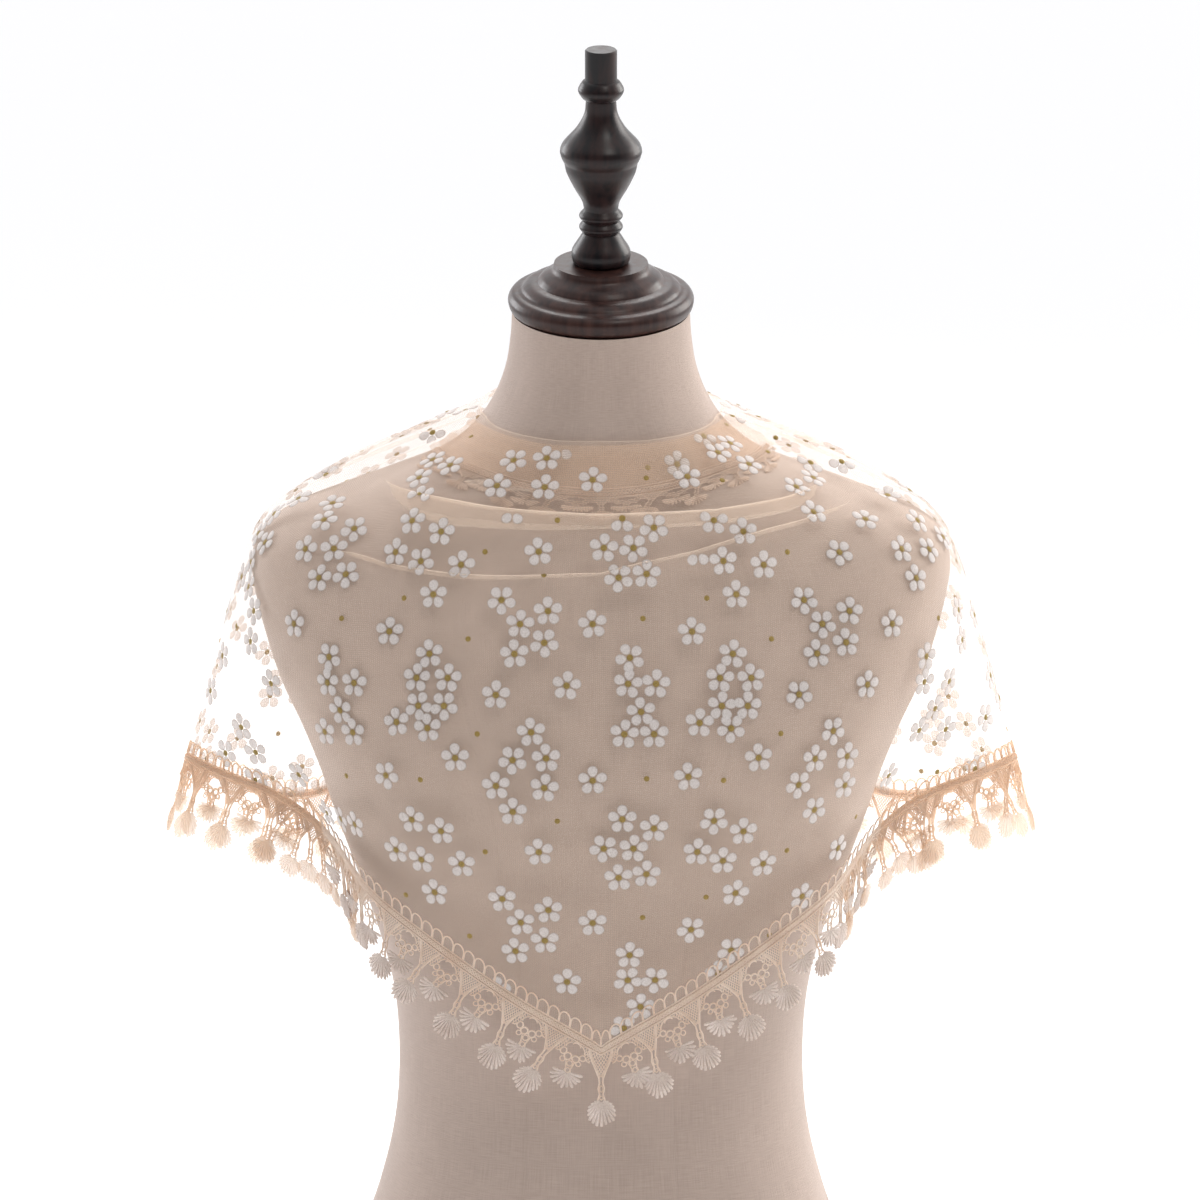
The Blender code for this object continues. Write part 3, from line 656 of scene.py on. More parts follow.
def make_turned(name, profile, node, wood):
    """Turns a profile about its axis, and sets it on the leaning top of the neck."""
    line = smooth_profile(profile)
    turn = np.linspace(0, 2 * math.pi, TURNS, endpoint=False)
    r, h = line[:, 0][None], line[:, 1][None]
    points = np.stack([r * np.cos(turn)[:, None], r * np.sin(turn)[:, None], h + 0 * turn[:, None]], -1)
    points = points.reshape(-1, 3)
    faces = grid_faces(TURNS, len(line), closed=True)
    obj = new_piece(name, points, faces, wood)
    obj.data.transform(Matrix.Translation(NECK_TOP) @ Matrix.Rotation(NECK_LEAN, 4, "X"))
    obj.data.set_sharp_from_angle(angle=SHARP_EDGE)
    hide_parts(node)


make_turned("neck_cap_turned", CAP, "neck_cap", LIT_CAP_WOOD)
make_turned("finial_turned", FINIAL, "finial", FINIAL_WOOD)

# %% [markdown]
# ## The net's lie
#
# One triangle of net: its long edge goes round the neck, its point hangs in front, it stands out
# over both upper arms, and its ends cross behind. A cloth simulation could drape it, but would
# let it slide away from where the photograph shows it. So stations run round the form and levels
# run from neck to hem, a place is given for each, and one smooth surface passes through them.

# %% The net's stations
# Rows: stations from the front middle to the right end. Columns: neck, yoke, chest, fall, hem.
LIE = np.array((
    ((0.000, -0.064, 0.606), (0.000, -0.090, 0.569), (0.000, -0.103, 0.541),
     (0.000, -0.131, 0.440), (0.000, -0.117, 0.275)),
    ((0.022, -0.062, 0.606), (0.045, -0.087, 0.569), (0.052, -0.101, 0.541),
     (0.052, -0.129, 0.440), (0.050, -0.115, 0.305)),
    ((0.040, -0.053, 0.607), (0.085, -0.076, 0.570), (0.098, -0.088, 0.542),
     (0.100, -0.117, 0.445), (0.096, -0.105, 0.336)),
    ((0.052, -0.041, 0.608), (0.115, -0.056, 0.571), (0.130, -0.068, 0.543),
     (0.137, -0.094, 0.455), (0.127, -0.085, 0.357)),
    ((0.059, -0.028, 0.609), (0.134, -0.034, 0.572), (0.154, -0.061, 0.546),
     (0.166, -0.070, 0.465), (0.152, -0.044, 0.379)),
    ((0.062, -0.017, 0.611), (0.142, -0.018, 0.573), (0.174, -0.039, 0.551),
     (0.191, -0.046, 0.480), (0.181, -0.031, 0.397)),
    ((0.065, -0.007, 0.612), (0.146, -0.003, 0.575), (0.182, -0.018, 0.554),
     (0.204, -0.022, 0.490), (0.211, -0.016, 0.405)),
    ((0.066, 0.003, 0.613), (0.146, 0.010, 0.577), (0.190, 0.004, 0.550),
     (0.212, 0.010, 0.490), (0.236, 0.014, 0.408)),
    ((0.062, 0.015, 0.616), (0.138, 0.026, 0.580), (0.180, 0.032, 0.552),
     (0.203, 0.048, 0.490), (0.223, 0.055, 0.389)),
    ((0.055, 0.029, 0.620), (0.114, 0.044, 0.585), (0.148, 0.057, 0.552),
     (0.165, 0.077, 0.485), (0.174, 0.086, 0.367)),
    ((0.038, 0.041, 0.625), (0.074, 0.061, 0.592), (0.092, 0.079, 0.556),
     (0.100, 0.094, 0.490), (0.102, 0.098, 0.393)),
    ((0.010, 0.050, 0.628), (0.018, 0.066, 0.596), (0.020, 0.083, 0.562),
     (0.020, 0.096, 0.510), (0.020, 0.097, 0.444)),
    ((-0.026, 0.046, 0.626), (-0.036, 0.058, 0.604), (-0.041, 0.069, 0.583),
     (-0.044, 0.079, 0.556), (-0.046, 0.087, 0.527)),
    ((-0.050, 0.030, 0.621), (-0.057, 0.037, 0.611), (-0.061, 0.042, 0.602),
     (-0.065, 0.046, 0.593), (-0.068, 0.050, 0.585)),
))
WHOLE_LIE = np.concatenate([LIE[:0:-1] * (-1, 1, 1), LIE])
LAST_STATION, HEM = 13, 4.0
print("net:", len(LIE), "stations on each side,", LIE.shape[1], "levels")

# %% [markdown]
# ## Folds
#
# Two soft folds cross the chest like swags. At each, the cloth turns up behind itself, so three
# layers lie together. They could be drawn as bumps, but the turned edge is the brightest line on
# the net, so it has to be real cloth. Each fold is a set of rows that lie close together between
# the plain ones, and fades out towards the shoulders. Low ripples run down behind them.

# %% The folds' lines
# The plain level, height and fade of each swag fold.
SWAGS = ((1.0, 0.0038, 0.95), (2.0, 0.0030, 0.7))
SWAG_REACH = 3.9
# Each fold's line. Columns: station, its level there, and how deep it is turned in, in levels.
FOLD_LINES = (
    ((-4.0, 0.78, 0.00), (-3.2, 0.83, 0.06), (-1.8, 0.90, 0.40), (-0.8, 0.96, 0.34), (0.0, 1.00, 0.26),
     (1.4, 0.97, 0.24), (2.4, 0.92, 0.18), (3.2, 0.86, 0.08), (4.0, 0.80, 0.00)),
    ((-4.0, 1.98, 0.00), (-3.0, 2.02, 0.03), (-1.5, 2.05, 0.025), (0.0, 2.02, 0.015), (1.0, 1.80, 0.03),
     (2.0, 1.46, 0.08), (3.0, 1.24, 0.06), (4.0, 1.14, 0.00)),
)
FOLD_SPAN = (-0.16, 0.14)
# The last row of a fold that is turned in. The ones after it run on as plain cloth.
LAST_TURNED_ROW = 10
# How far past the swags' reach their lines still bend the plain levels, and how steeply.
FOLD_EASE, FOLD_STEEP = 1.5, 3.5
# The rows at a fold: where each lies with no fold, its share of the depth and of the height, and
# how closely the cloth is creased there.
FOLD_ROWS = (
    (-0.160, -0.90, 0.00, 0), (-0.120, -0.20, 0.00, 0), (-0.090, 0.45, 0.04, 0), (-0.070, 0.85, 0.08, 0),
    (-0.055, 1.00, 0.14, 0.2), (-0.040, 0.88, 0.24, 0), (-0.025, 0.50, 0.40, 0), (-0.010, 0.12, 0.62, 0.3),
    (0.000, 0.00, 0.80, 1), (0.012, -0.02, 0.93, 1), (0.025, 0.02, 1.00, 0.4), (0.050, 0.22, 1.00, 0),
    (0.090, 0.60, 0.97, 0), (0.140, 1.10, 0.92, 0),
)
# How far the left end stands off to pass over the right one, and between which stations it rises.
CROSSING_LIFT, CROSSING_FROM, CROSSING_WHOLE = 0.0042, 8.6, 9.8
# The ripples: their middle and reach in stations and in levels, their height and their pitch.
RIPPLE_MIDDLE, RIPPLE_REACH = 6.4, 2.9
RIPPLE_LEVEL, RIPPLE_FADE = 0.75, 0.85
RIPPLE_HEIGHT, RIPPLE_PITCH = 0.0050, 1.3
WRINKLE = 0.0006
print("folds:", len(SWAGS), "of", len(FOLD_ROWS), "rows each")


# %% Points of the net
# From this level down to the hem the two halves meet at the front in a point.
POINT_FROM = 3.0


def on_net(us, vs):
    """Points of the lie. us has one place per column, and vs one row of levels for each."""
    count = LIE.shape[1]
    levels = smooth_shares(count, np.clip(vs, 0, HEM).ravel()).reshape(*vs.shape, count)
    across = smooth_shares(len(WHOLE_LIE), us + LAST_STATION)
    smooth = np.einsum("as,slc,arl->arc", across, WHOLE_LIE, levels)
    one_side = smooth_shares(len(LIE), np.abs(us))
    pointed = np.einsum("as,slc,arl->arc", one_side, LIE, levels)
    pointed[..., 0] *= np.where(us < 0, -1, 1)[:, None]
    sharp = np.clip(vs - POINT_FROM, 0, 1)[..., None]
    return smooth * (1 - sharp) + pointed * sharp


def raised_clear(points, tree, gaps, heights):
    """Each point, kept at least its gap off the tree's faces and then raised by its height."""
    out = np.empty_like(points)
    for k, (point, gap, height) in enumerate(zip(points, gaps, heights)):
        place, normal, _, _ = tree.find_nearest(Vector(point))
        short = max(0.0, gap - (Vector(point) - place).dot(normal))
        out[k] = point + np.array(normal) * (short + height)
    return out


print("front point:", on_net(np.zeros(1), np.full((1, 1), HEM))[0, 0].round(3))


# %% Rows of the net
EDGE_LEVELS = (0, 0.012, 0.024)
# Columns: first level, last level, step.
PLAIN_STRETCHES = ((0.08, 0.8, 0.08), (1.2, 1.8, 0.08), (2.2, HEM, 0.06))


def net_rows():
    """Plain levels with the fold rows set among them: (plain level, swag number, row number)."""
    stretches = [np.arange(*stretch) for stretch in PLAIN_STRETCHES]
    rows = [(level, -1, -1) for level in np.concatenate([EDGE_LEVELS, *stretches, [HEM]])]
    for n, swag in enumerate(SWAGS):
        rows += [(swag[0] + row[0], n, k) for k, row in enumerate(FOLD_ROWS)]
    return sorted(rows)


NET_ROWS = net_rows()
print("net:", len(NET_ROWS), "rows")


# %% Levels of the folds
def fold_levels(us):
    """The level of each fold at every column, and the plain levels with where they come to lie."""
    bend = np.minimum(1, (1 - np.abs(us) / (SWAG_REACH + FOLD_EASE)).clip(0) * FOLD_STEEP)
    level_at, lying, plains = [], [0 * us, 0 * us + HEM], [0, HEM]
    for (plain, _, _), line in zip(SWAGS, FOLD_LINES):
        stations, levels, _ = zip(*line)
        level_at.append(plain + (np.interp(us, stations, levels) - plain) * bend)
        for end in FOLD_SPAN:
            lying.insert(-1, level_at[-1] + end)
            plains.insert(-1, plain + end)
    return level_at, np.array(lying), plains


print("fold levels at the front middle:", [round(level[0], 2) for level in fold_levels(np.zeros(1))[0]])


# %% Heights of the net
def swag_heights(us, rows):
    """The level of every point, and how high the two swag folds lift it."""
    across = np.maximum(0, 1 - (np.abs(us) / SWAG_REACH) ** 2)
    folding = np.minimum(1, across * 3)
    level_at, lying, plains = fold_levels(us)
    depth_at = [np.interp(us, *np.array(line).T[[0, 2]]) for line in FOLD_LINES]
    vs = np.empty((len(us), len(rows)))
    out = np.zeros_like(vs)
    for b, (plain, n, k) in enumerate(rows):
        after = np.searchsorted(plains, plain, side="right").clip(1, len(plains) - 1)
        share = (plain - plains[after - 1]) / (plains[after] - plains[after - 1])
        vs[:, b] = lying[after - 1] * (1 - share) + lying[after] * share
        if n >= 0:
            vs[:, b] += folding * (level_at[n] + depth_at[n] * FOLD_ROWS[k][1] - vs[:, b])
        for m, (level, height, fade) in enumerate(SWAGS):
            fading = np.clip(1 - (vs[:, b] - level_at[m]) / fade, 0, 1) ** 2
            if n == m:
                share = FOLD_ROWS[k][2] * (fading if k > LAST_TURNED_ROW else 1)
            else:
                share = fading * (plain > level)
            out[:, b] += height * across * share
    return vs, out


def net_heights(us, rows):
    """The level and the standing height of every point: folds, ripples, wrinkles, crossing."""
    v, out = swag_heights(us, rows)
    over = np.maximum(0, 1 - ((np.abs(us)[:, None] - RIPPLE_MIDDLE) / RIPPLE_REACH) ** 2)
    down = np.maximum(0, 1 - ((v - RIPPLE_LEVEL) / RIPPLE_FADE) ** 2)
    out += RIPPLE_HEIGHT * over * down * (0.5 - 0.5 * np.cos(2 * math.pi * us[:, None] / RIPPLE_PITCH))
    folds = np.sin(3.1 * us[:, None] + 1.7 * v + np.sin(2.3 * v)) * np.sin(1.3 * us[:, None] + 4.1 * v)
    out += WRINKLE * (1 + folds) * np.clip(v, 0, 1) * np.clip((HEM - v) * 2, 0, 1)
    out += CROSSING_LIFT * np.clip((-us - CROSSING_FROM) / (CROSSING_WHOLE - CROSSING_FROM), 0, 1)[:, None]
    return v, out


net_height = net_heights(np.linspace(-LAST_STATION, LAST_STATION, 2 * LAST_STATION + 1), NET_ROWS)[1].max()
print("the net stands out by up to", round(net_height * 1000, 1), "mm")


# %% [markdown]
# ## The shawl
#
# Now the cloth itself. A Shrinkwrap modifier could hold it off the form. Each point is pushed
# out here instead until it is clear of the linen, by a little more where the wound end lies
# beneath and where the left end passes over the right one. One sheet without thickness is
# enough, since real net is thinner than anything that could be seen.

# %% The shawl
COLUMNS_PER_STATION = 12
# The least gap to the linen, and the wider one over the wound end: how much, how softly, how far.
REST, WRAP_GAP, WRAP_EASE, WRAP_TO = 0.0011, 0.0030, 0.3, 1.75
# The long edge is turned over, so it is covered more closely, down to this level.
EDGE_CREASE, EDGE_TO = 0.6, 0.02


def flat_map(grid):
    """Each point's place on the cloth, in metres: along the stretch, and down from the neck."""
    along = np.linalg.norm(np.diff(grid[:, grid.shape[1] // 2], axis=0), axis=1)
    down = np.linalg.norm(np.diff(grid, axis=1), axis=2)
    u = np.concatenate([[0], np.cumsum(along)])
    v = np.concatenate([np.zeros((len(grid), 1)), np.cumsum(down, axis=1)], axis=1)
    return np.stack(np.broadcast_arrays(u[:, None], v), axis=-1).reshape(-1, 2)


def make_net(rows):
    """The net's stations, its grid of points, its faces, and how closely each point is creased."""
    us = np.linspace(-LAST_STATION, LAST_STATION, 2 * LAST_STATION * COLUMNS_PER_STATION + 1)
    vs, heights = net_heights(us, rows)
    over = np.clip(vs / WRAP_EASE, 0, 1) * np.clip((WRAP_TO - vs) / WRAP_EASE, 0, 1)
    points = on_net(us, vs).reshape(-1, 3)
    points = raised_clear(points, FORM, (REST + WRAP_GAP * over).ravel(), heights.ravel())
    grid = points.reshape(len(us), len(rows), 3)
    faces = grid_faces(len(us), len(rows))
    swagged = np.clip((1 - (np.abs(us) / SWAG_REACH) ** 2) * 4, 0, 1)
    creases = np.zeros((len(us), len(rows)))
    for b, (plain, n, k) in enumerate(rows):
        creases[:, b] = FOLD_ROWS[k][3] * swagged if n >= 0 else EDGE_CREASE * (plain < EDGE_TO)
    return us, grid, faces, creases


STATIONS, NET_GRID, NET_FACES, CREASES = make_net(NET_ROWS)
NET_TREE = tree_of(NET_GRID.reshape(-1, 3), NET_FACES)
shawl = new_piece("shawl_net", NET_GRID.reshape(-1, 3), NET_FACES, NET, flat_map(NET_GRID))
shawl.data.attributes.new("crease", "FLOAT", "POINT").data.foreach_set("value", CREASES.ravel())
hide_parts("net_front", "net_shoulder_left", "net_shoulder_right", "net_back_left", "net_back_right")

# %% [markdown]
# ## The wound end
#
# The right end of the triangle goes on round the front of the neck, under the front layer, and
# shows through it as a darker band. The one sheet could be carried on to make it. A band of its
# own is simpler, because the stretch between the two is hidden behind the shoulder.

# %% The wound end
# Rows: places round the neck. Columns: the band's upper and lower edge.
WRAP = np.array((
    ((-0.070, 0.004, 0.606), (-0.096, 0.006, 0.590)),
    ((-0.065, -0.020, 0.607), (-0.084, -0.028, 0.584)),
    ((-0.051, -0.042, 0.605), (-0.060, -0.054, 0.582)),
    ((-0.029, -0.057, 0.603), (-0.035, -0.070, 0.579)),
    ((0.000, -0.062, 0.603), (0.000, -0.076, 0.577)),
    ((0.029, -0.057, 0.604), (0.035, -0.070, 0.580)),
    ((0.051, -0.042, 0.606), (0.061, -0.052, 0.585)),
    ((0.065, -0.020, 0.609), (0.085, -0.026, 0.588)),
    ((0.070, 0.004, 0.610), (0.097, 0.006, 0.592)),
))
WRAP_COLUMNS, WRAP_ROWS = 97, 15
WRAP_REST = 0.0006
WRAP_PLEAT, PLEATS_DOWN, PLEATS_ALONG = 0.0005, 15, 0.5


def make_wound_end():
    """The band round the front of the neck, with a few soft pleats along it."""
    t = np.linspace(0, len(WRAP) - 1, WRAP_COLUMNS)
    edges = np.einsum("as,sec->aec", smooth_shares(len(WRAP), t), WRAP)
    down = np.linspace(0, 1, WRAP_ROWS)[None, :, None]
    grid = edges[:, :1] * (1 - down) + edges[:, 1:] * down
    pleats = WRAP_PLEAT * (1 + np.sin(down[..., 0] * PLEATS_DOWN + PLEATS_ALONG * t[:, None]))
    points = raised_clear(grid.reshape(-1, 3), FORM, np.full(grid.size // 3, WRAP_REST), pleats.ravel())
    return points.reshape(grid.shape)


WRAP_GRID = make_wound_end()
WRAP_FACES = grid_faces(WRAP_COLUMNS, WRAP_ROWS)
wrap_map = flat_map(WRAP_GRID)
wound = new_piece("wound_end_net", WRAP_GRID.reshape(-1, 3), WRAP_FACES, WOUND_NET, wrap_map)
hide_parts("wound_end")


# %% [markdown]
# ## The lace trim
#
# The trim is stitched thread on thread: a braid, loops that stand on it, and pendants below it.
# A strip with a cut-out picture could stand for it from afar. Here every thread is a tube, so it
# casts its own shadow and has a real edge. A tube follows a line drawn on the flat trim: s runs
# along the hem and t down from it, in millimetres.

# %% Tubes
def tube_mesh(lines, radii, outs, sides, flatness=1.0):
    """Joins tubes round some lines into one set of points and faces, with a map along each."""
    points, faces, maps, known = [], [], [], 0
    turn = np.linspace(0, 2 * math.pi, sides, endpoint=False)
    for line, radius, out in zip(lines, radii, outs):
        tangent = units(np.gradient(line, axis=0))
        side = units(np.cross(tangent, out))
        up = np.cross(side, tangent) * flatness
        ring = side[:, None] * np.cos(turn)[None, :, None] + up[:, None] * np.sin(turn)[None, :, None]
        wide = np.broadcast_to(radius, len(line))[:, None, None]
        points.append((line[:, None] + ring * wide).reshape(-1, 3))
        a, b = np.meshgrid(np.arange(len(line) - 1), np.arange(sides), indexing="ij")
        nxt = (b + 1) % sides
        quads = np.stack([a * sides + b, a * sides + nxt, (a + 1) * sides + nxt, (a + 1) * sides + b], -1)
        faces.append(quads.reshape(-1, 4) + known)
        reach = np.concatenate([[0], np.cumsum(np.linalg.norm(np.diff(line, axis=0), axis=1))])
        along, around = np.broadcast_arrays(reach[:, None], turn[None] / (2 * math.pi))
        maps.append(np.stack([along, around], -1).reshape(-1, 2))
        known += len(line) * sides
    return np.concatenate(points), np.concatenate(faces), np.concatenate(maps)


print("tubes are ready")


# %% [markdown]
# ## Two motifs
#
# Two motifs take turns: a net-filled triangle with a round shell, and an arch with an open fan.
# They could be traced thread by thread. Drawn from a few arcs and lines each, they repeat as on
# the real trim, and every shell and fan gets small chance differences of its own. Each line goes
# with its tube's radius and its height above the ground, all in millimetres.

# %% Arcs and picots
HALF_PITCH = 13.75
BRAID_TOP, BRAID_FOOT = -4.5, 0.3
PICOTS_PER_HALF, PICOT_HEIGHT = 2, 6.8
PICOT_RADIUS, PICOT_LIFT = 0.46, 0.25


def arc(cx, cy, rx, ry, first, last, count):
    """Part of an ellipse, in degrees from straight down and turning towards +s."""
    a = np.radians(np.linspace(first, last, count))
    return np.stack([cx + rx * np.sin(a), cy + ry * np.cos(a)], -1)


def picot_lines(s0):
    """The loops that stand on the braid over one half pitch."""
    width = HALF_PITCH / PICOTS_PER_HALF
    lines = []
    for k in range(PICOTS_PER_HALF):
        middle = s0 - HALF_PITCH / 2 + width * (k + 0.5)
        arch = arc(middle, BRAID_TOP - PICOT_HEIGHT + width / 2, width / 2 - 0.2, width / 2, 90, 270, 9)
        first, last = ([(middle + side * (width / 2 - 0.35), BRAID_TOP + 0.3)] for side in (1, -1))
        lines.append((np.concatenate([first, arch, last]), PICOT_RADIUS, PICOT_LIFT))
    return lines


print("picots:", PICOTS_PER_HALF, "on each", HALF_PITCH, "mm")


# %% The triangle and its shell
SHELL_RIBS, SHELL_SPREAD = 17, 78
NET_SLOPE = 0.62


def triangle_lines():
    """A net-filled triangle under the braid, and its two-thread stalk."""
    lines = []
    for side in (-1, 1):
        lines.append((np.array([(side * 7.1, 0.4), (side * 5.2, 4.0), (side * 3.0, 8.8), (side * 1.1, 14.2),
                                (side * 0.9, 17.0), (side * 1.6, 20.0), (side * 0.9, 23.4),
                                (side * 2.0, 27.0)]), 0.56, 0.35))
        lines.append((np.array([(side * 6.2, 0.6), (side * 4.4, 4.2), (side * 2.2, 9.0), (side * 0.5, 13.6)]),
                      0.40, 0.2))
    for slope in (-1, 1):
        for start in np.arange(-13.5, 14, 1.5):
            t = np.linspace(0.6, 13.2, 10)
            s = start + slope * (t - 0.6) * NET_SLOPE
            inside = np.abs(s) < 6.4 * (1 - t / 14.4)
            if inside.sum() >= 2:
                lines.append((np.stack([s, t], -1)[inside], 0.27, 0.1))
    lines.append((arc(0, 20.4, 0.9, 1.9, 0, 360, 9), 0.36, 0.1))
    lines.append((arc(0, 25.6, 0.9, 1.2, 0, 360, 8), 0.36, 0.1))
    return lines


def shell_lines(foot, radius, rng):
    """A round shell: ribs that spread from its foot and widen to a slightly ragged rim."""
    lines = []
    for k in range(SHELL_RIBS):
        a = math.radians(-SHELL_SPREAD + 2 * SHELL_SPREAD * k / (SHELL_RIBS - 1))
        reach = 2 * radius * math.cos(a) * rng.uniform(0.95, 1.05) + 1.0
        r = np.array((0.3, 0.25, 0.55, 0.85, 1.0)) * reach
        r[0] = min(1.2, reach / 4)
        wide = 0.12 + 0.084 * r
        wide[-1] *= 0.55
        bow = np.sin(np.linspace(0, math.pi, 5)) * 0.4 * math.sin(a)
        line = np.stack([r * math.sin(a) + bow, foot + r * math.cos(a)], -1)
        lines.append((line, wide, 0.45 + 0.45 * np.sin(np.linspace(0, math.pi, 5)) + 0.14 * (k % 2)))
    return lines


print("triangle:", len(triangle_lines()), "cords, shell:", SHELL_RIBS, "ribs")


# %% The fan
FINGERS, FINGER_SPREAD = 11, 92
FINGER_LENGTH = 9.8


def finger_lines(hub, rng):
    """An open fan: fingers from a small hub, with gaps between their rounded ends."""
    lines = []
    for k in range(FINGERS):
        a = math.radians(-FINGER_SPREAD + 2 * FINGER_SPREAD * k / (FINGERS - 1) + rng.uniform(-2, 2))
        reach = FINGER_LENGTH * rng.uniform(0.88, 1.05) - 0.8 * abs(math.sin(a))
        r = np.array((0.08, 0.3, 0.6, 0.85, 1.0)) * reach
        wide = np.array((0.40, 0.70, 1.05, 1.15, 0.60))
        line = np.stack([r * math.sin(a), hub + r * math.cos(a)], -1)
        lines.append((line, wide, 0.4 + 0.3 * np.sin(np.linspace(0, math.pi, 5)) + 0.12 * (k % 2)))
    lines.append((arc(0, hub, 3.0, 3.0, -FINGER_SPREAD, FINGER_SPREAD, 9), 0.45, 0.75))
    return lines


print("fan:", FINGERS, "fingers")


# %% The arch
def spandrel_lines():
    """The net between an arch and the triangle beside it, on the side of +s."""
    lines = []
    t = np.linspace(0.7, 9.4, 9)
    arch_edge = np.where(t < 6.4, 6.0 * np.sqrt(np.clip(1 - ((t - 6.4) / 5.4) ** 2, 0, 1)), 7.0)
    triangle_edge = HALF_PITCH - 6.4 * (1 - t / 14.4)
    for slope in (-1, 1):
        for start in np.arange(0, 15, 1.6):
            s = start + slope * (t - 0.7) * NET_SLOPE
            inside = (s > arch_edge) & (s < triangle_edge)
            if inside.sum() >= 2:
                lines.append(np.stack([s, t], -1)[inside])
    return lines


def arch_lines():
    """An arch under the braid, and the rings and cords joined below it."""
    lines = [(arc(0, 6.4, 6.0, 5.4, 100, 260, 13), 0.46, 0.3)]
    for side in (-1, 1):
        lines.append((arc(side * 5.7, 8.2, 1.7, 1.9, 0, 360, 11), 0.48, 0.35))
        lines.append((arc(side * 2.3, 10.2, 2.0, 2.0, 0, 360, 12), 0.54, 0.4))
        lines.append((np.array([(side * 7.0, 7.2), (side * 8.4, 8.8), (side * 10.2, 9.2)]), 0.44, 0.2))
        stem = [(side * 2.6, 12.0), (side * 1.9, 14.6), (side * 1.4, 17.0), (side * 2.0, 19.6)]
        lines.append((np.array(stem), 0.48, 0.25))
        lines.append((arc(side * 4.6, 12.6, 1.4, 1.5, 0, 360, 9), 0.40, 0.35))
        for start in (5.6, 6.8, 8.0):
            bar = [(side * start, 0.5), (side * (start + 0.5), 2.8), (side * (start - 0.3), 5.4)]
            lines.append((np.array(bar), 0.28, 0.12))
        lines += [(line * (side, 1), 0.25, 0.1) for line in spandrel_lines()]
    lines.append((arc(0, 3.8, 2.6, 2.4, 110, 250, 9), 0.34, 0.2))
    lines.append((arc(0, 13.8, 1.6, 1.7, 0, 360, 10), 0.44, 0.4))
    lines.append((arc(0, 18.0, 1.3, 1.5, 0, 360, 10), 0.42, 0.3))
    return lines


print("arch:", len(arch_lines()), "cords")

# %% The braid
PLAIT_STRANDS, PLAIT_SWING, PLAIT_LENGTH = 3, 1.25, 6.0


def braid_lines(first, last):
    """The braid: two edge cords, and a plait of three strands between them."""
    s = np.arange(first, last + 0.5, 1.0)
    lines = [(np.stack([s, 0 * s + t], -1), 0.46, 0.5) for t in (BRAID_TOP, BRAID_FOOT)]
    for n in range(PLAIT_STRANDS):
        turn = 2 * math.pi * (s / PLAIT_LENGTH + n / PLAIT_STRANDS)
        across = (BRAID_TOP + BRAID_FOOT) / 2 + PLAIT_SWING * np.sin(turn)
        lines.append((np.stack([s, across], -1), 0.62, 0.42 + 0.3 * np.sin(2 * turn)))
    return lines


print("braid:", len(braid_lines(0, HALF_PITCH)), "cords")

# %% [markdown]
# ## Carrying the lace onto a hem
#
# A Curve modifier could bend the flat trim round the hem, but it would carry the pendants through
# the form. So the hem is measured along its real length, and each line is placed by its distance
# along it. Above the hem the lace lies on the net. Below it the pendants hang between square to
# the hem and straight down, and are pushed out until they are clear of the form.

# %% The hem's directions
LACE_LIFT = 0.0004
HANG_CLEARANCE = 0.0012
MOST_SLANT = 0.75
WEIGHT = 0.3


def hem_frame(grid, stand_limit, middle):
    """The hem's points and directions by distance along it, from a net's grid."""
    hem, above = grid[:, -1], grid[:, -5]
    along = units(np.gradient(hem, axis=0))
    rise = units(above - hem)
    out = units(np.cross(along, rise))
    square = units(np.cross(out, along))
    upright = np.sum(rise * square, axis=1)[:, None]
    slanted = np.clip((upright - MOST_SLANT) / (1 - MOST_SLANT), 0, 1) ** 0.5
    rise = rise / upright * slanted + square * (1 - slanted)
    reach = np.concatenate([[0], np.cumsum(np.linalg.norm(np.diff(hem, axis=0), axis=1))])
    stand = []
    for point in hem:
        place, normal, _, _ = FORM.find_nearest(Vector(point))
        stand.append(min(stand_limit, (Vector(point) - place).dot(normal) - REST))
    rows = np.concatenate([hem, rise, units(-square - (0, 0, WEIGHT)), out, np.array(stand)[:, None]], axis=1)
    return {"reach": reach - reach[middle], "rows": rows}


def hem_rows(hem, s):
    """The hem's place and directions at distances along it: hem, rise, hang, out and stand."""
    rows = np.array([np.interp(s, hem["reach"], column) for column in hem["rows"].T]).T
    return rows[:, :3], rows[:, 3:6], units(rows[:, 6:9]), units(rows[:, 9:12]), rows[:, 12]


print("lace lies", LACE_LIFT * 1000, "mm off the net and hangs", HANG_CLEARANCE * 1000, "mm off the form")

# %% Carrying a line
STIFF_FROM, STIFF_WHOLE = 2.0, 9.0
NEAR = 0.02
SWING, SWING_FROM, SWING_EASE = 13.0, 9.0, 8


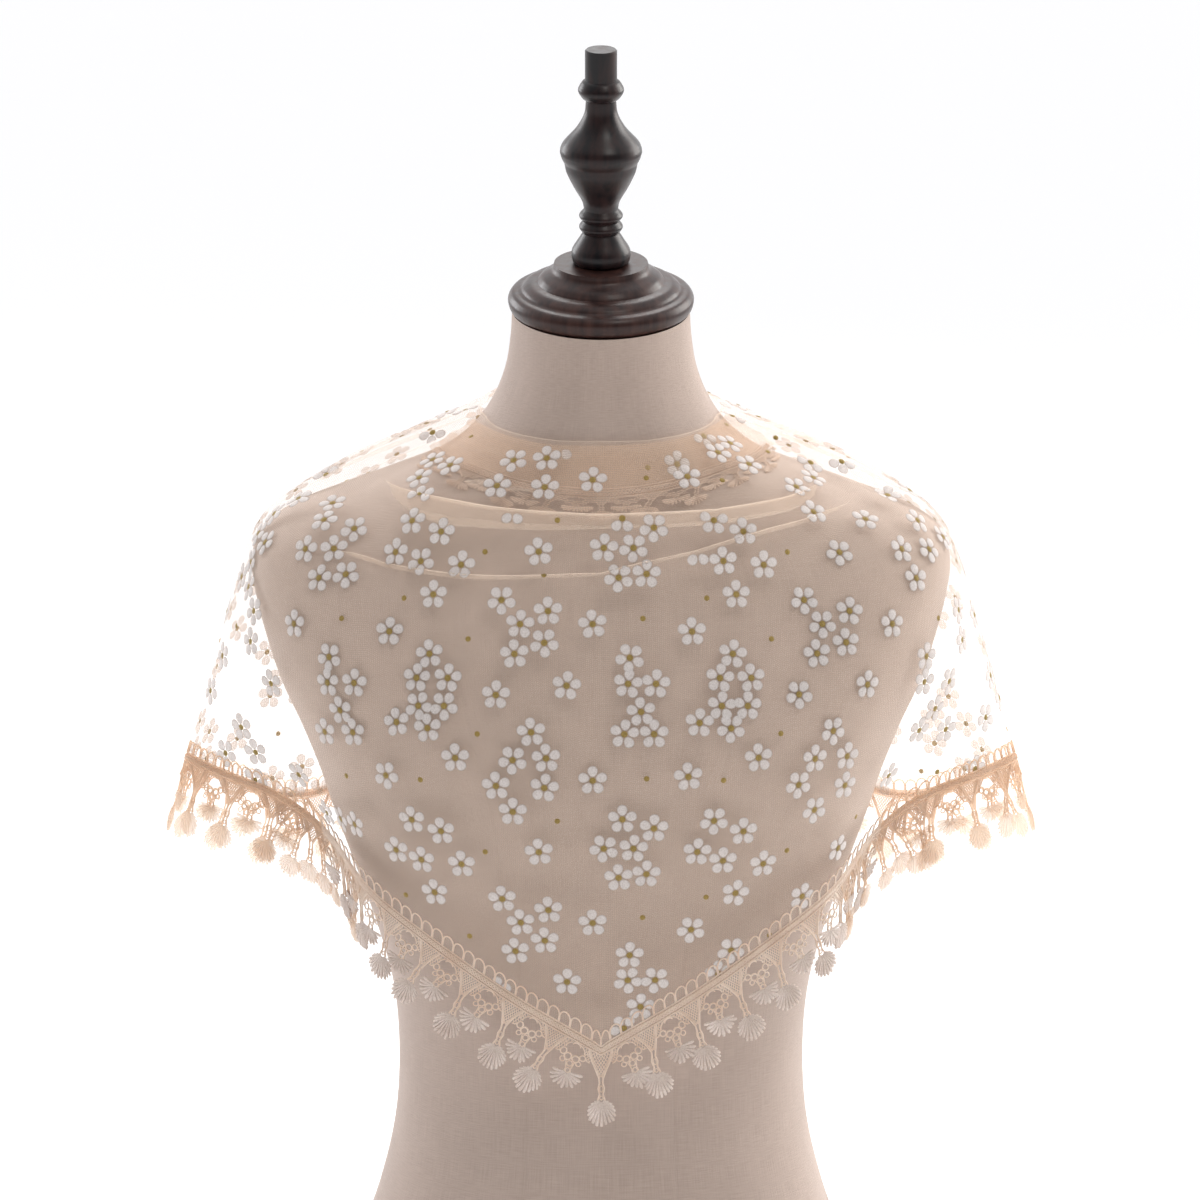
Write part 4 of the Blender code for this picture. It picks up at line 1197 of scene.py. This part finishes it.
def carried(hem, line, lift, over, clearance, s0=None):
    """The line's points on the hem, and the way out of the cloth at each. Millimetres in.

    A motif with its middle at s0 keeps its own flat shape where it hangs well below the hem.
    """
    s, t = line[:, 0] / 1000, line[:, 1] / 1000
    foot, rise, hang, out, stand = hem_rows(hem, s)
    places = foot + np.where(t[:, None] < 0, rise * -t[:, None], hang * t[:, None])
    if s0 is not None:
        foot0, _, hang0, out0, _ = hem_rows(hem, np.array([s0 / 1000]))
        across = units(np.cross(out0, hang0))
        stiff = foot0 + across * (s - s0 / 1000)[:, None] + hang0 * t[:, None]
        share = np.clip((t * 1000 - STIFF_FROM) / (STIFF_WHOLE - STIFF_FROM), 0, 1)[:, None]
        places = places * (1 - share) + stiff * share
        out = units(out * (1 - share) + out0 * share)
    for k in range(len(s)):
        tree, gap = (over, LACE_LIFT) if t[k] < 0 else (FORM, clearance + stand[k])
        place, normal, _, distance = tree.find_nearest(Vector(places[k]))
        height = (Vector(places[k]) - place).dot(normal)
        if height < gap and distance < NEAR:
            places[k] += np.array(normal) * (gap - height)
    lifts = np.broadcast_to(lift, len(s)) / 1000 + np.where(t < 0, 0, LACE_LIFT)
    return places + out * lifts[:, None], out


def swung(line, degrees):
    """The part of a motif that hangs below its joint, turned about that joint."""
    s, t = line[:, 0], line[:, 1] - SWING_FROM
    a = np.radians(degrees) * np.clip(t / SWING_EASE, 0, 1)
    return np.stack([s * np.cos(a) + t * np.sin(a), SWING_FROM + t * np.cos(a) - s * np.sin(a)], -1)


print("a line is carried in", round(STIFF_WHOLE - STIFF_FROM), "mm from soft to stiff")


# %% [markdown]
# ## A stretch of lace
#
# Along a hem the motifs are counted from the front middle: even numbers are triangles, odd ones
# arches, and half numbers a second row of triangles where the trim is gathered. An Array
# modifier could repeat them, but each pendant swings and curls a little differently, from its
# own number, so that a motif looks the same in every run. The shells and fans are a piece of
# their own, because they are worked in a shinier thread.

# %% A stretch of lace
SHELL_FOOT, SHELL_RADIUS, GATHERED_SHELL_RADIUS = 26.6, 7.1, 6.4
FAN_HUB = 19.4
MOST_CURL, CURL_EASE = 1.8, 20
RIB_FLATNESS = 0.55
FINE_SHARE = 0.55


def motif_lines(number, rng):
    """One motif's cords and ribs: a triangle with its shell, or an arch with its fan."""
    if number % 1:
        return triangle_lines(), shell_lines(SHELL_FOOT, GATHERED_SHELL_RADIUS, rng)
    if number % 2 == 0:
        return picot_lines(0) + triangle_lines(), shell_lines(SHELL_FOOT, SHELL_RADIUS, rng)
    return picot_lines(0) + arch_lines(), finger_lines(FAN_HUB, rng)


def make_lace(name, numbers, pitch, hem, over, materials, clearance=HANG_CLEARANCE, depth=1.0, sides=5,
              braid=True):
    """A stretch of lace along a hem: its cords, and its shells and fans.

    depth makes the pendants shorter or longer. Where it shortens them, the thread is finer too.
    """
    cords, ribs = ([], [], []), ([], [], [])

    def add(store, line, radius, lift, s0):
        placed, out = carried(hem, line, lift * min(1, depth * 1.3), over, clearance, s0)
        store[0].append(placed)
        store[1].append(np.array(radius) / 1000 * (FINE_SHARE if depth < 1 else 1))
        store[2].append(out)

    for number in numbers:
        rng = np.random.default_rng(round(1000 + 2 * number))
        turn, curl = rng.uniform(-SWING, SWING), rng.uniform(0, MOST_CURL)
        for store, lines in zip((cords, ribs), motif_lines(number, rng)):
            for line, radius, lift in lines:
                line = swung(line, turn) * (1, depth)
                curled = curl * np.clip((line[:, 1] - SWING_FROM) / CURL_EASE, 0, 1)
                add(store, line + (number * pitch, 0), radius, lift + curled, number * pitch)
    if braid:
        for line, radius, lift in braid_lines((numbers[0] - 0.5) * pitch, (numbers[-1] + 0.5) * pitch):
            add(cords, line, radius, lift, None)
    made = []
    kinds = (("", cords, materials[0], 1.0), ("_shells", ribs, materials[1], RIB_FLATNESS))
    for kind, store, material, flatness in kinds:
        points, faces, maps = tube_mesh(*store, sides, flatness)
        made.append(new_piece(name + kind, points, faces, material, maps))
    return made


# %% The ribbon under the braid
RIBBON_STEP, RIBBON_ROWS, RIBBON_LIFT = 2.0, 4, 0.05


def ribbon_under_braid(name, first, last, hem, over, material):
    """The woven ground that the braid's cords lie on, a thin strip."""
    s = np.arange(first, last, RIBBON_STEP)
    levels = np.linspace(BRAID_TOP, BRAID_FOOT, RIBBON_ROWS)
    grid = np.stack([carried(hem, np.stack([s, 0 * s + t], -1), RIBBON_LIFT, over, HANG_CLEARANCE)[0]
                     for t in levels], axis=1)
    faces = grid_faces(len(s), RIBBON_ROWS)
    return new_piece(name, grid.reshape(-1, 3), faces, material, flat_map(grid))


print("ribbon:", BRAID_FOOT - BRAID_TOP, "mm wide")


# %% [markdown]
# ## Lace all round the hem
#
# The trim runs in one length from end to end of the net, with a motif at the front point. It
# could be one piece. It is made in the stretches that its solids have, and each stands for its
# solid. At the armholes the hem is gathered, and the photograph shows pendants crowded there, so
# a second row hangs behind the first.

# %% Where each motif lies
CENTRE = len(STATIONS) // 2
HEM_FRAME = hem_frame(NET_GRID, CROSSING_LIFT, CENTRE)
SIDE_LENGTH = HEM_FRAME["reach"][-1] * 1000
LAST_MOTIF = int(SIDE_LENGTH / HALF_PITCH - 0.5)
PITCH = SIDE_LENGTH / (LAST_MOTIF + 0.5)


def motif_at(station):
    """The motif nearest a station of the net."""
    return round(np.interp(station, STATIONS, HEM_FRAME["reach"]) * 1000 / PITCH)


print("motifs each side:", LAST_MOTIF, "pitch", round(PITCH, 2), "mm, side", round(SIDE_LENGTH), "mm")

# %% The stretches of the trim
front_edge, shoulder_edge = motif_at(4.0), motif_at(8.0)
stretches = {
    "front": range(-front_edge, front_edge + 1),
    "shoulder_right": range(front_edge + 1, shoulder_edge + 1),
    "shoulder_left": range(-shoulder_edge, -front_edge),
    "back_right": range(shoulder_edge + 1, LAST_MOTIF + 1),
    "back_left": range(-LAST_MOTIF, -shoulder_edge),
}
laces = []
for place, numbers in stretches.items():
    # Off the front the lace takes the backlit copies of its threads, which stand in for the light behind it.
    threads = (THREAD, SATIN) if place == "front" else (BACKLIT_THREAD, BACKLIT_SATIN)
    made = make_lace("lace_" + place, list(numbers), PITCH, HEM_FRAME, NET_TREE, threads)
    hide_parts("trim_" + place)
    laces += made

# %% The gathered row and the ribbon
GATHER_CLEARANCE, GATHER_DEPTH = 0.0042, 1.12
gathered = np.arange(motif_at(3.2), motif_at(5.2)) + 0.5
for side, numbers in (("right", gathered), ("left", -gathered[::-1])):
    laces += make_lace("lace_gathered_" + side, list(numbers), PITCH, HEM_FRAME, NET_TREE,
                       (BACKLIT_THREAD, BACKLIT_SATIN), clearance=GATHER_CLEARANCE, depth=GATHER_DEPTH, braid=False)
laces.append(ribbon_under_braid("lace_ground", -SIDE_LENGTH, SIDE_LENGTH, HEM_FRAME, NET_TREE, GROUND))

# %% [markdown]
# ## Lace on the wound end
#
# The wound end keeps its trim, crumpled flat between the form and the front layer. It could be
# left out, as it is only half seen, but without it the band at the neck looks like a ribbon. The
# same motifs are used, pressed short and close to the neck, with finer thread.

# %% Lace on the wound end
WOUND_CLEARANCE, WOUND_DEPTH = 0.0004, 0.3
wrap_frame = hem_frame(WRAP_GRID, 0.0, WRAP_COLUMNS // 2)
WRAP_TREE = tree_of(WRAP_GRID.reshape(-1, 3), WRAP_FACES)
wrap_count = int(wrap_frame["reach"][-1] * 1000 / HALF_PITCH - 0.5)
wound_lace = make_lace("lace_wound_end", list(range(-wrap_count, wrap_count + 1)), HALF_PITCH, wrap_frame,
                       WRAP_TREE, (WOUND_THREAD, WOUND_THREAD), clearance=WOUND_CLEARANCE, depth=WOUND_DEPTH,
                       sides=4)


# %% [markdown]
# ## The flowers
#
# A common small daisy of five petals, flocked on the net in a repeat of about 16 cm, with small
# gold dots between. Flowers could be scattered by chance, but a printed cloth repeats. So one
# repeat is charted, in millimetres, and laid over the whole net.

# %% The flower chart
REPEAT = (163.4, 162.0)
FLOWERS = (
    (65, 0), (90, -6), (75, -13), (88, -23), (72, -29), (26, -29), (19, -42), (36, -42), (20, -57), (34, -57),
    (8, -66), (25, -69), (134, -31), (133, -45), (148, -45), (140, -60), (131, -72), (147, -72), (81, -71),
    (89, -85), (71, -86), (62, -100), (88, -101), (71, -114), (16, -119), (32, -125), (7, -136), (21, -141),
    (43, -143), (28, -159), (130, -118), (147, -123), (120, -134), (136, -134), (128, -150), (143, -148),
    (114, -13), (4, -17), (62, -51), (100, -46), (114, -97), (40, -85), (2, -95), (85, -136),
)
DOTS = ((12, 1), (47, -21), (52, -72), (21, -97), (95, -119), (56, -136), (141, -10), (143, -96), (9, -160))
# Where the chart's corner lies as seen from each way, in metres: on the net, on the wound end.
FRONT_ORIGIN, WOUND_ORIGIN = (-0.1185, 0.504), (-0.150, 0.575)
FLOWER_SPACE, DOT_SPACE = 0.0128, 0.009
print("chart:", len(FLOWERS), "flowers and", len(DOTS), "dots in", REPEAT, "mm")

# %% [markdown]
# ## Laying the chart on the net
#
# A UV map could carry a flat picture of the flowers, but it would stretch them at the shoulders
# and leave them without thickness. Here the chart is held up before the net from five ways, and a
# ray from each flower's place finds the cloth. Flowers keep their size, stand on the cloth, and
# one that would fall on another is left out.

# %% Laying the chart
# The ways from which the repeat is laid on the net. Each part of the net takes its flowers from
# the way it faces most squarely, and the front way counts for more.
WAYS = (
    ((0, math.cos(ELEVATION), -math.sin(ELEVATION)), (1, 0, 0), 1.7),
    ((0, -1, 0), (-1, 0, 0), 1.2),
    ((-0.9, 0, -0.43), (0, 1, 0), 1.0),
    ((0.9, 0, -0.43), (0, -1, 0), 1.0),
    ((0, 0.1, -1), (1, 0, 0), 1.25),
)
STAND_BACK, REPEATS = 0.6, range(-4, 5)


def laid_places(chart, tree, spaced, ways, origin, space):
    """The chart's places on a net, from each way in turn: (place, outward normal, up)."""
    found = []
    faced = np.array([units(np.array(way, float)) * weight for way, _, weight in ways])
    for number, (way, across, _) in enumerate(ways):
        way, across = units(np.array(way, float)), np.array(across, float)
        up = units(np.cross(across, way))
        for column, row in itertools.product(REPEATS, REPEATS):
            for s, t in chart:
                x = origin[0] + (s + column * REPEAT[0]) / 1000
                z = (origin[1] - AIM.z + (t + row * REPEAT[1]) / 1000)
                start = np.array(AIM) + across * x + up * z - way * STAND_BACK
                place, normal, _, _ = tree.ray_cast(Vector(start), Vector(way))
                if place is None or np.argmax(faced @ -np.array(normal)) != number:
                    continue
                if all((place - other).length > space for other in spaced):
                    spaced.append(place)
                    found.append((np.array(place), np.array(normal), up))
    return found


print("ways:", len(WAYS))

# %% [markdown]
# ## Petals, hearts and dots
#
# Each petal is a low cushion with an outline, a raised ring and a middle. A flat disc would be
# lighter, but the raised ring catches the light as real flock does. Every point of it is dropped
# on the net on its own, so petals bend with the cloth.

# %% Flock shapes
PETAL_REACH, PETAL_LONG, PETAL_WIDE = 0.0050, 0.0032, 0.00285
PETAL_POINTS, HEART_POINTS, DOT_POINTS = 12, 10, 8
HEART_RADIUS, DOT_RADIUS = 0.0018, 0.0016
FLOCK = 0.00028
# How far above the cloth the search for it starts, how deep it goes, and the glue's thickness.
SEARCH_FROM, SEARCH_DEPTH, GLUE = 0.003, 0.0058, 0.00012


def conformed(centre, normal, up, turn, tree, points, heights):
    """A flat shape about a place, laid on the net, or None where it would leave the cloth."""
    side = units(np.cross(up, normal))
    top = np.cross(normal, side)
    c, s = math.cos(turn), math.sin(turn)
    local = points @ np.array(((c, s), (-s, c)))
    laid = centre + local[:, :1] * side + local[:, 1:] * top
    for k, point in enumerate(laid):
        place, _, _, _ = tree.ray_cast(Vector(point + normal * SEARCH_FROM), Vector(-normal), SEARCH_DEPTH)
        if place is None:
            return None
        laid[k] = np.array(place) + normal * (heights[k] + GLUE)
    return laid


def petal_shape():
    """One petal's points and their heights: its outline, a raised ring inside it, its middle."""
    a = np.linspace(0, 2 * math.pi, PETAL_POINTS, endpoint=False)
    outline = np.stack([PETAL_WIDE * np.sin(a) * (1 + 0.16 * np.cos(a)), PETAL_LONG * np.cos(a)], -1)
    points = np.concatenate([outline, outline * 0.72, [(0, 0)]]) + (0, PETAL_REACH)
    return points, np.concatenate([np.zeros(PETAL_POINTS), np.full(PETAL_POINTS, FLOCK), [FLOCK * 1.1]])


def round_shape(radius, count):
    """A heart's or a dot's points and their heights."""
    a = np.linspace(0, 2 * math.pi, count, endpoint=False)
    outline = np.stack([np.sin(a), np.cos(a)], -1) * radius
    points = np.concatenate([outline, outline * 0.6, [(0, 0)]])
    return points, np.concatenate([np.full(count, FLOCK * 0.6), np.full(count, FLOCK * 1.7), [FLOCK * 2]])


def capped_faces(count):
    """Faces of an outline, a ring inside it and a middle point."""
    ring = [(k, count + k, count + (k + 1) % count, (k + 1) % count) for k in range(count)]
    return ring + [(count + k, 2 * count, count + (k + 1) % count) for k in range(count)]


def add_shape(store, shape, count):
    """Adds one shape's points and faces to a store, if it lies wholly on the cloth."""
    if shape is not None:
        store["faces"] += [tuple(k + store["count"] for k in face) for face in capped_faces(count)]
        store["points"].append(shape)
        store["count"] += len(shape)


print("a petal has", len(petal_shape()[0]), "points")

# %% The flowers
# A flower is turned by one of these angles in degrees, and then by up to the last one either way.
TURNS_OF_FLOWERS, LOOSE_TURN = (0, 0, 0, 36), 9


def make_flowers(name, tree, ways, origin, turn_seed):
    """All petals of a net as one piece, and all its hearts and dots as another."""
    rng = np.random.default_rng(turn_seed)
    spaced = []
    flowers = laid_places(FLOWERS, tree, spaced, ways, origin, FLOWER_SPACE)
    dots = laid_places(DOTS, tree, spaced, ways, origin, DOT_SPACE)
    petals = {"points": [], "faces": [], "count": 0}
    hearts = {"points": [], "faces": [], "count": 0}
    for centre, normal, up in flowers:
        turn = rng.choice(TURNS_OF_FLOWERS) + rng.uniform(-LOOSE_TURN, LOOSE_TURN)
        for k in range(5):
            petal = conformed(centre, normal, up, math.radians(turn + 72 * k), tree, *petal_shape())
            add_shape(petals, petal, PETAL_POINTS)
        heart = conformed(centre, normal, up, 0.0, tree, *round_shape(HEART_RADIUS, HEART_POINTS))
        add_shape(hearts, heart, HEART_POINTS)
    for centre, normal, up in dots:
        dot = conformed(centre, normal, up, 0.0, tree, *round_shape(DOT_RADIUS, DOT_POINTS))
        add_shape(hearts, dot, DOT_POINTS)
    print(name, len(flowers), "flowers", len(dots), "dots")
    made = [
        new_piece(name + "_petals", np.concatenate(petals["points"]), petals["faces"], PETAL),
        new_piece(name + "_hearts", np.concatenate(hearts["points"]), hearts["faces"], HEART),
    ]
    # Each petal's outline points get the rim value, which its material turns into painted shade.
    one_rim_shade = np.concatenate([np.ones(PETAL_POINTS), np.zeros(PETAL_POINTS + 1)])
    rim = np.tile(one_rim_shade, len(petals["points"]))
    made[0].data.attributes.new("rim", "FLOAT", "POINT").data.foreach_set("value", rim)
    return made


flower_pieces = make_flowers("flowers", NET_TREE, WAYS, FRONT_ORIGIN, 3)
wound_flowers = make_flowers("wound_flowers", WRAP_TREE, WAYS[:1], WOUND_ORIGIN, 5)
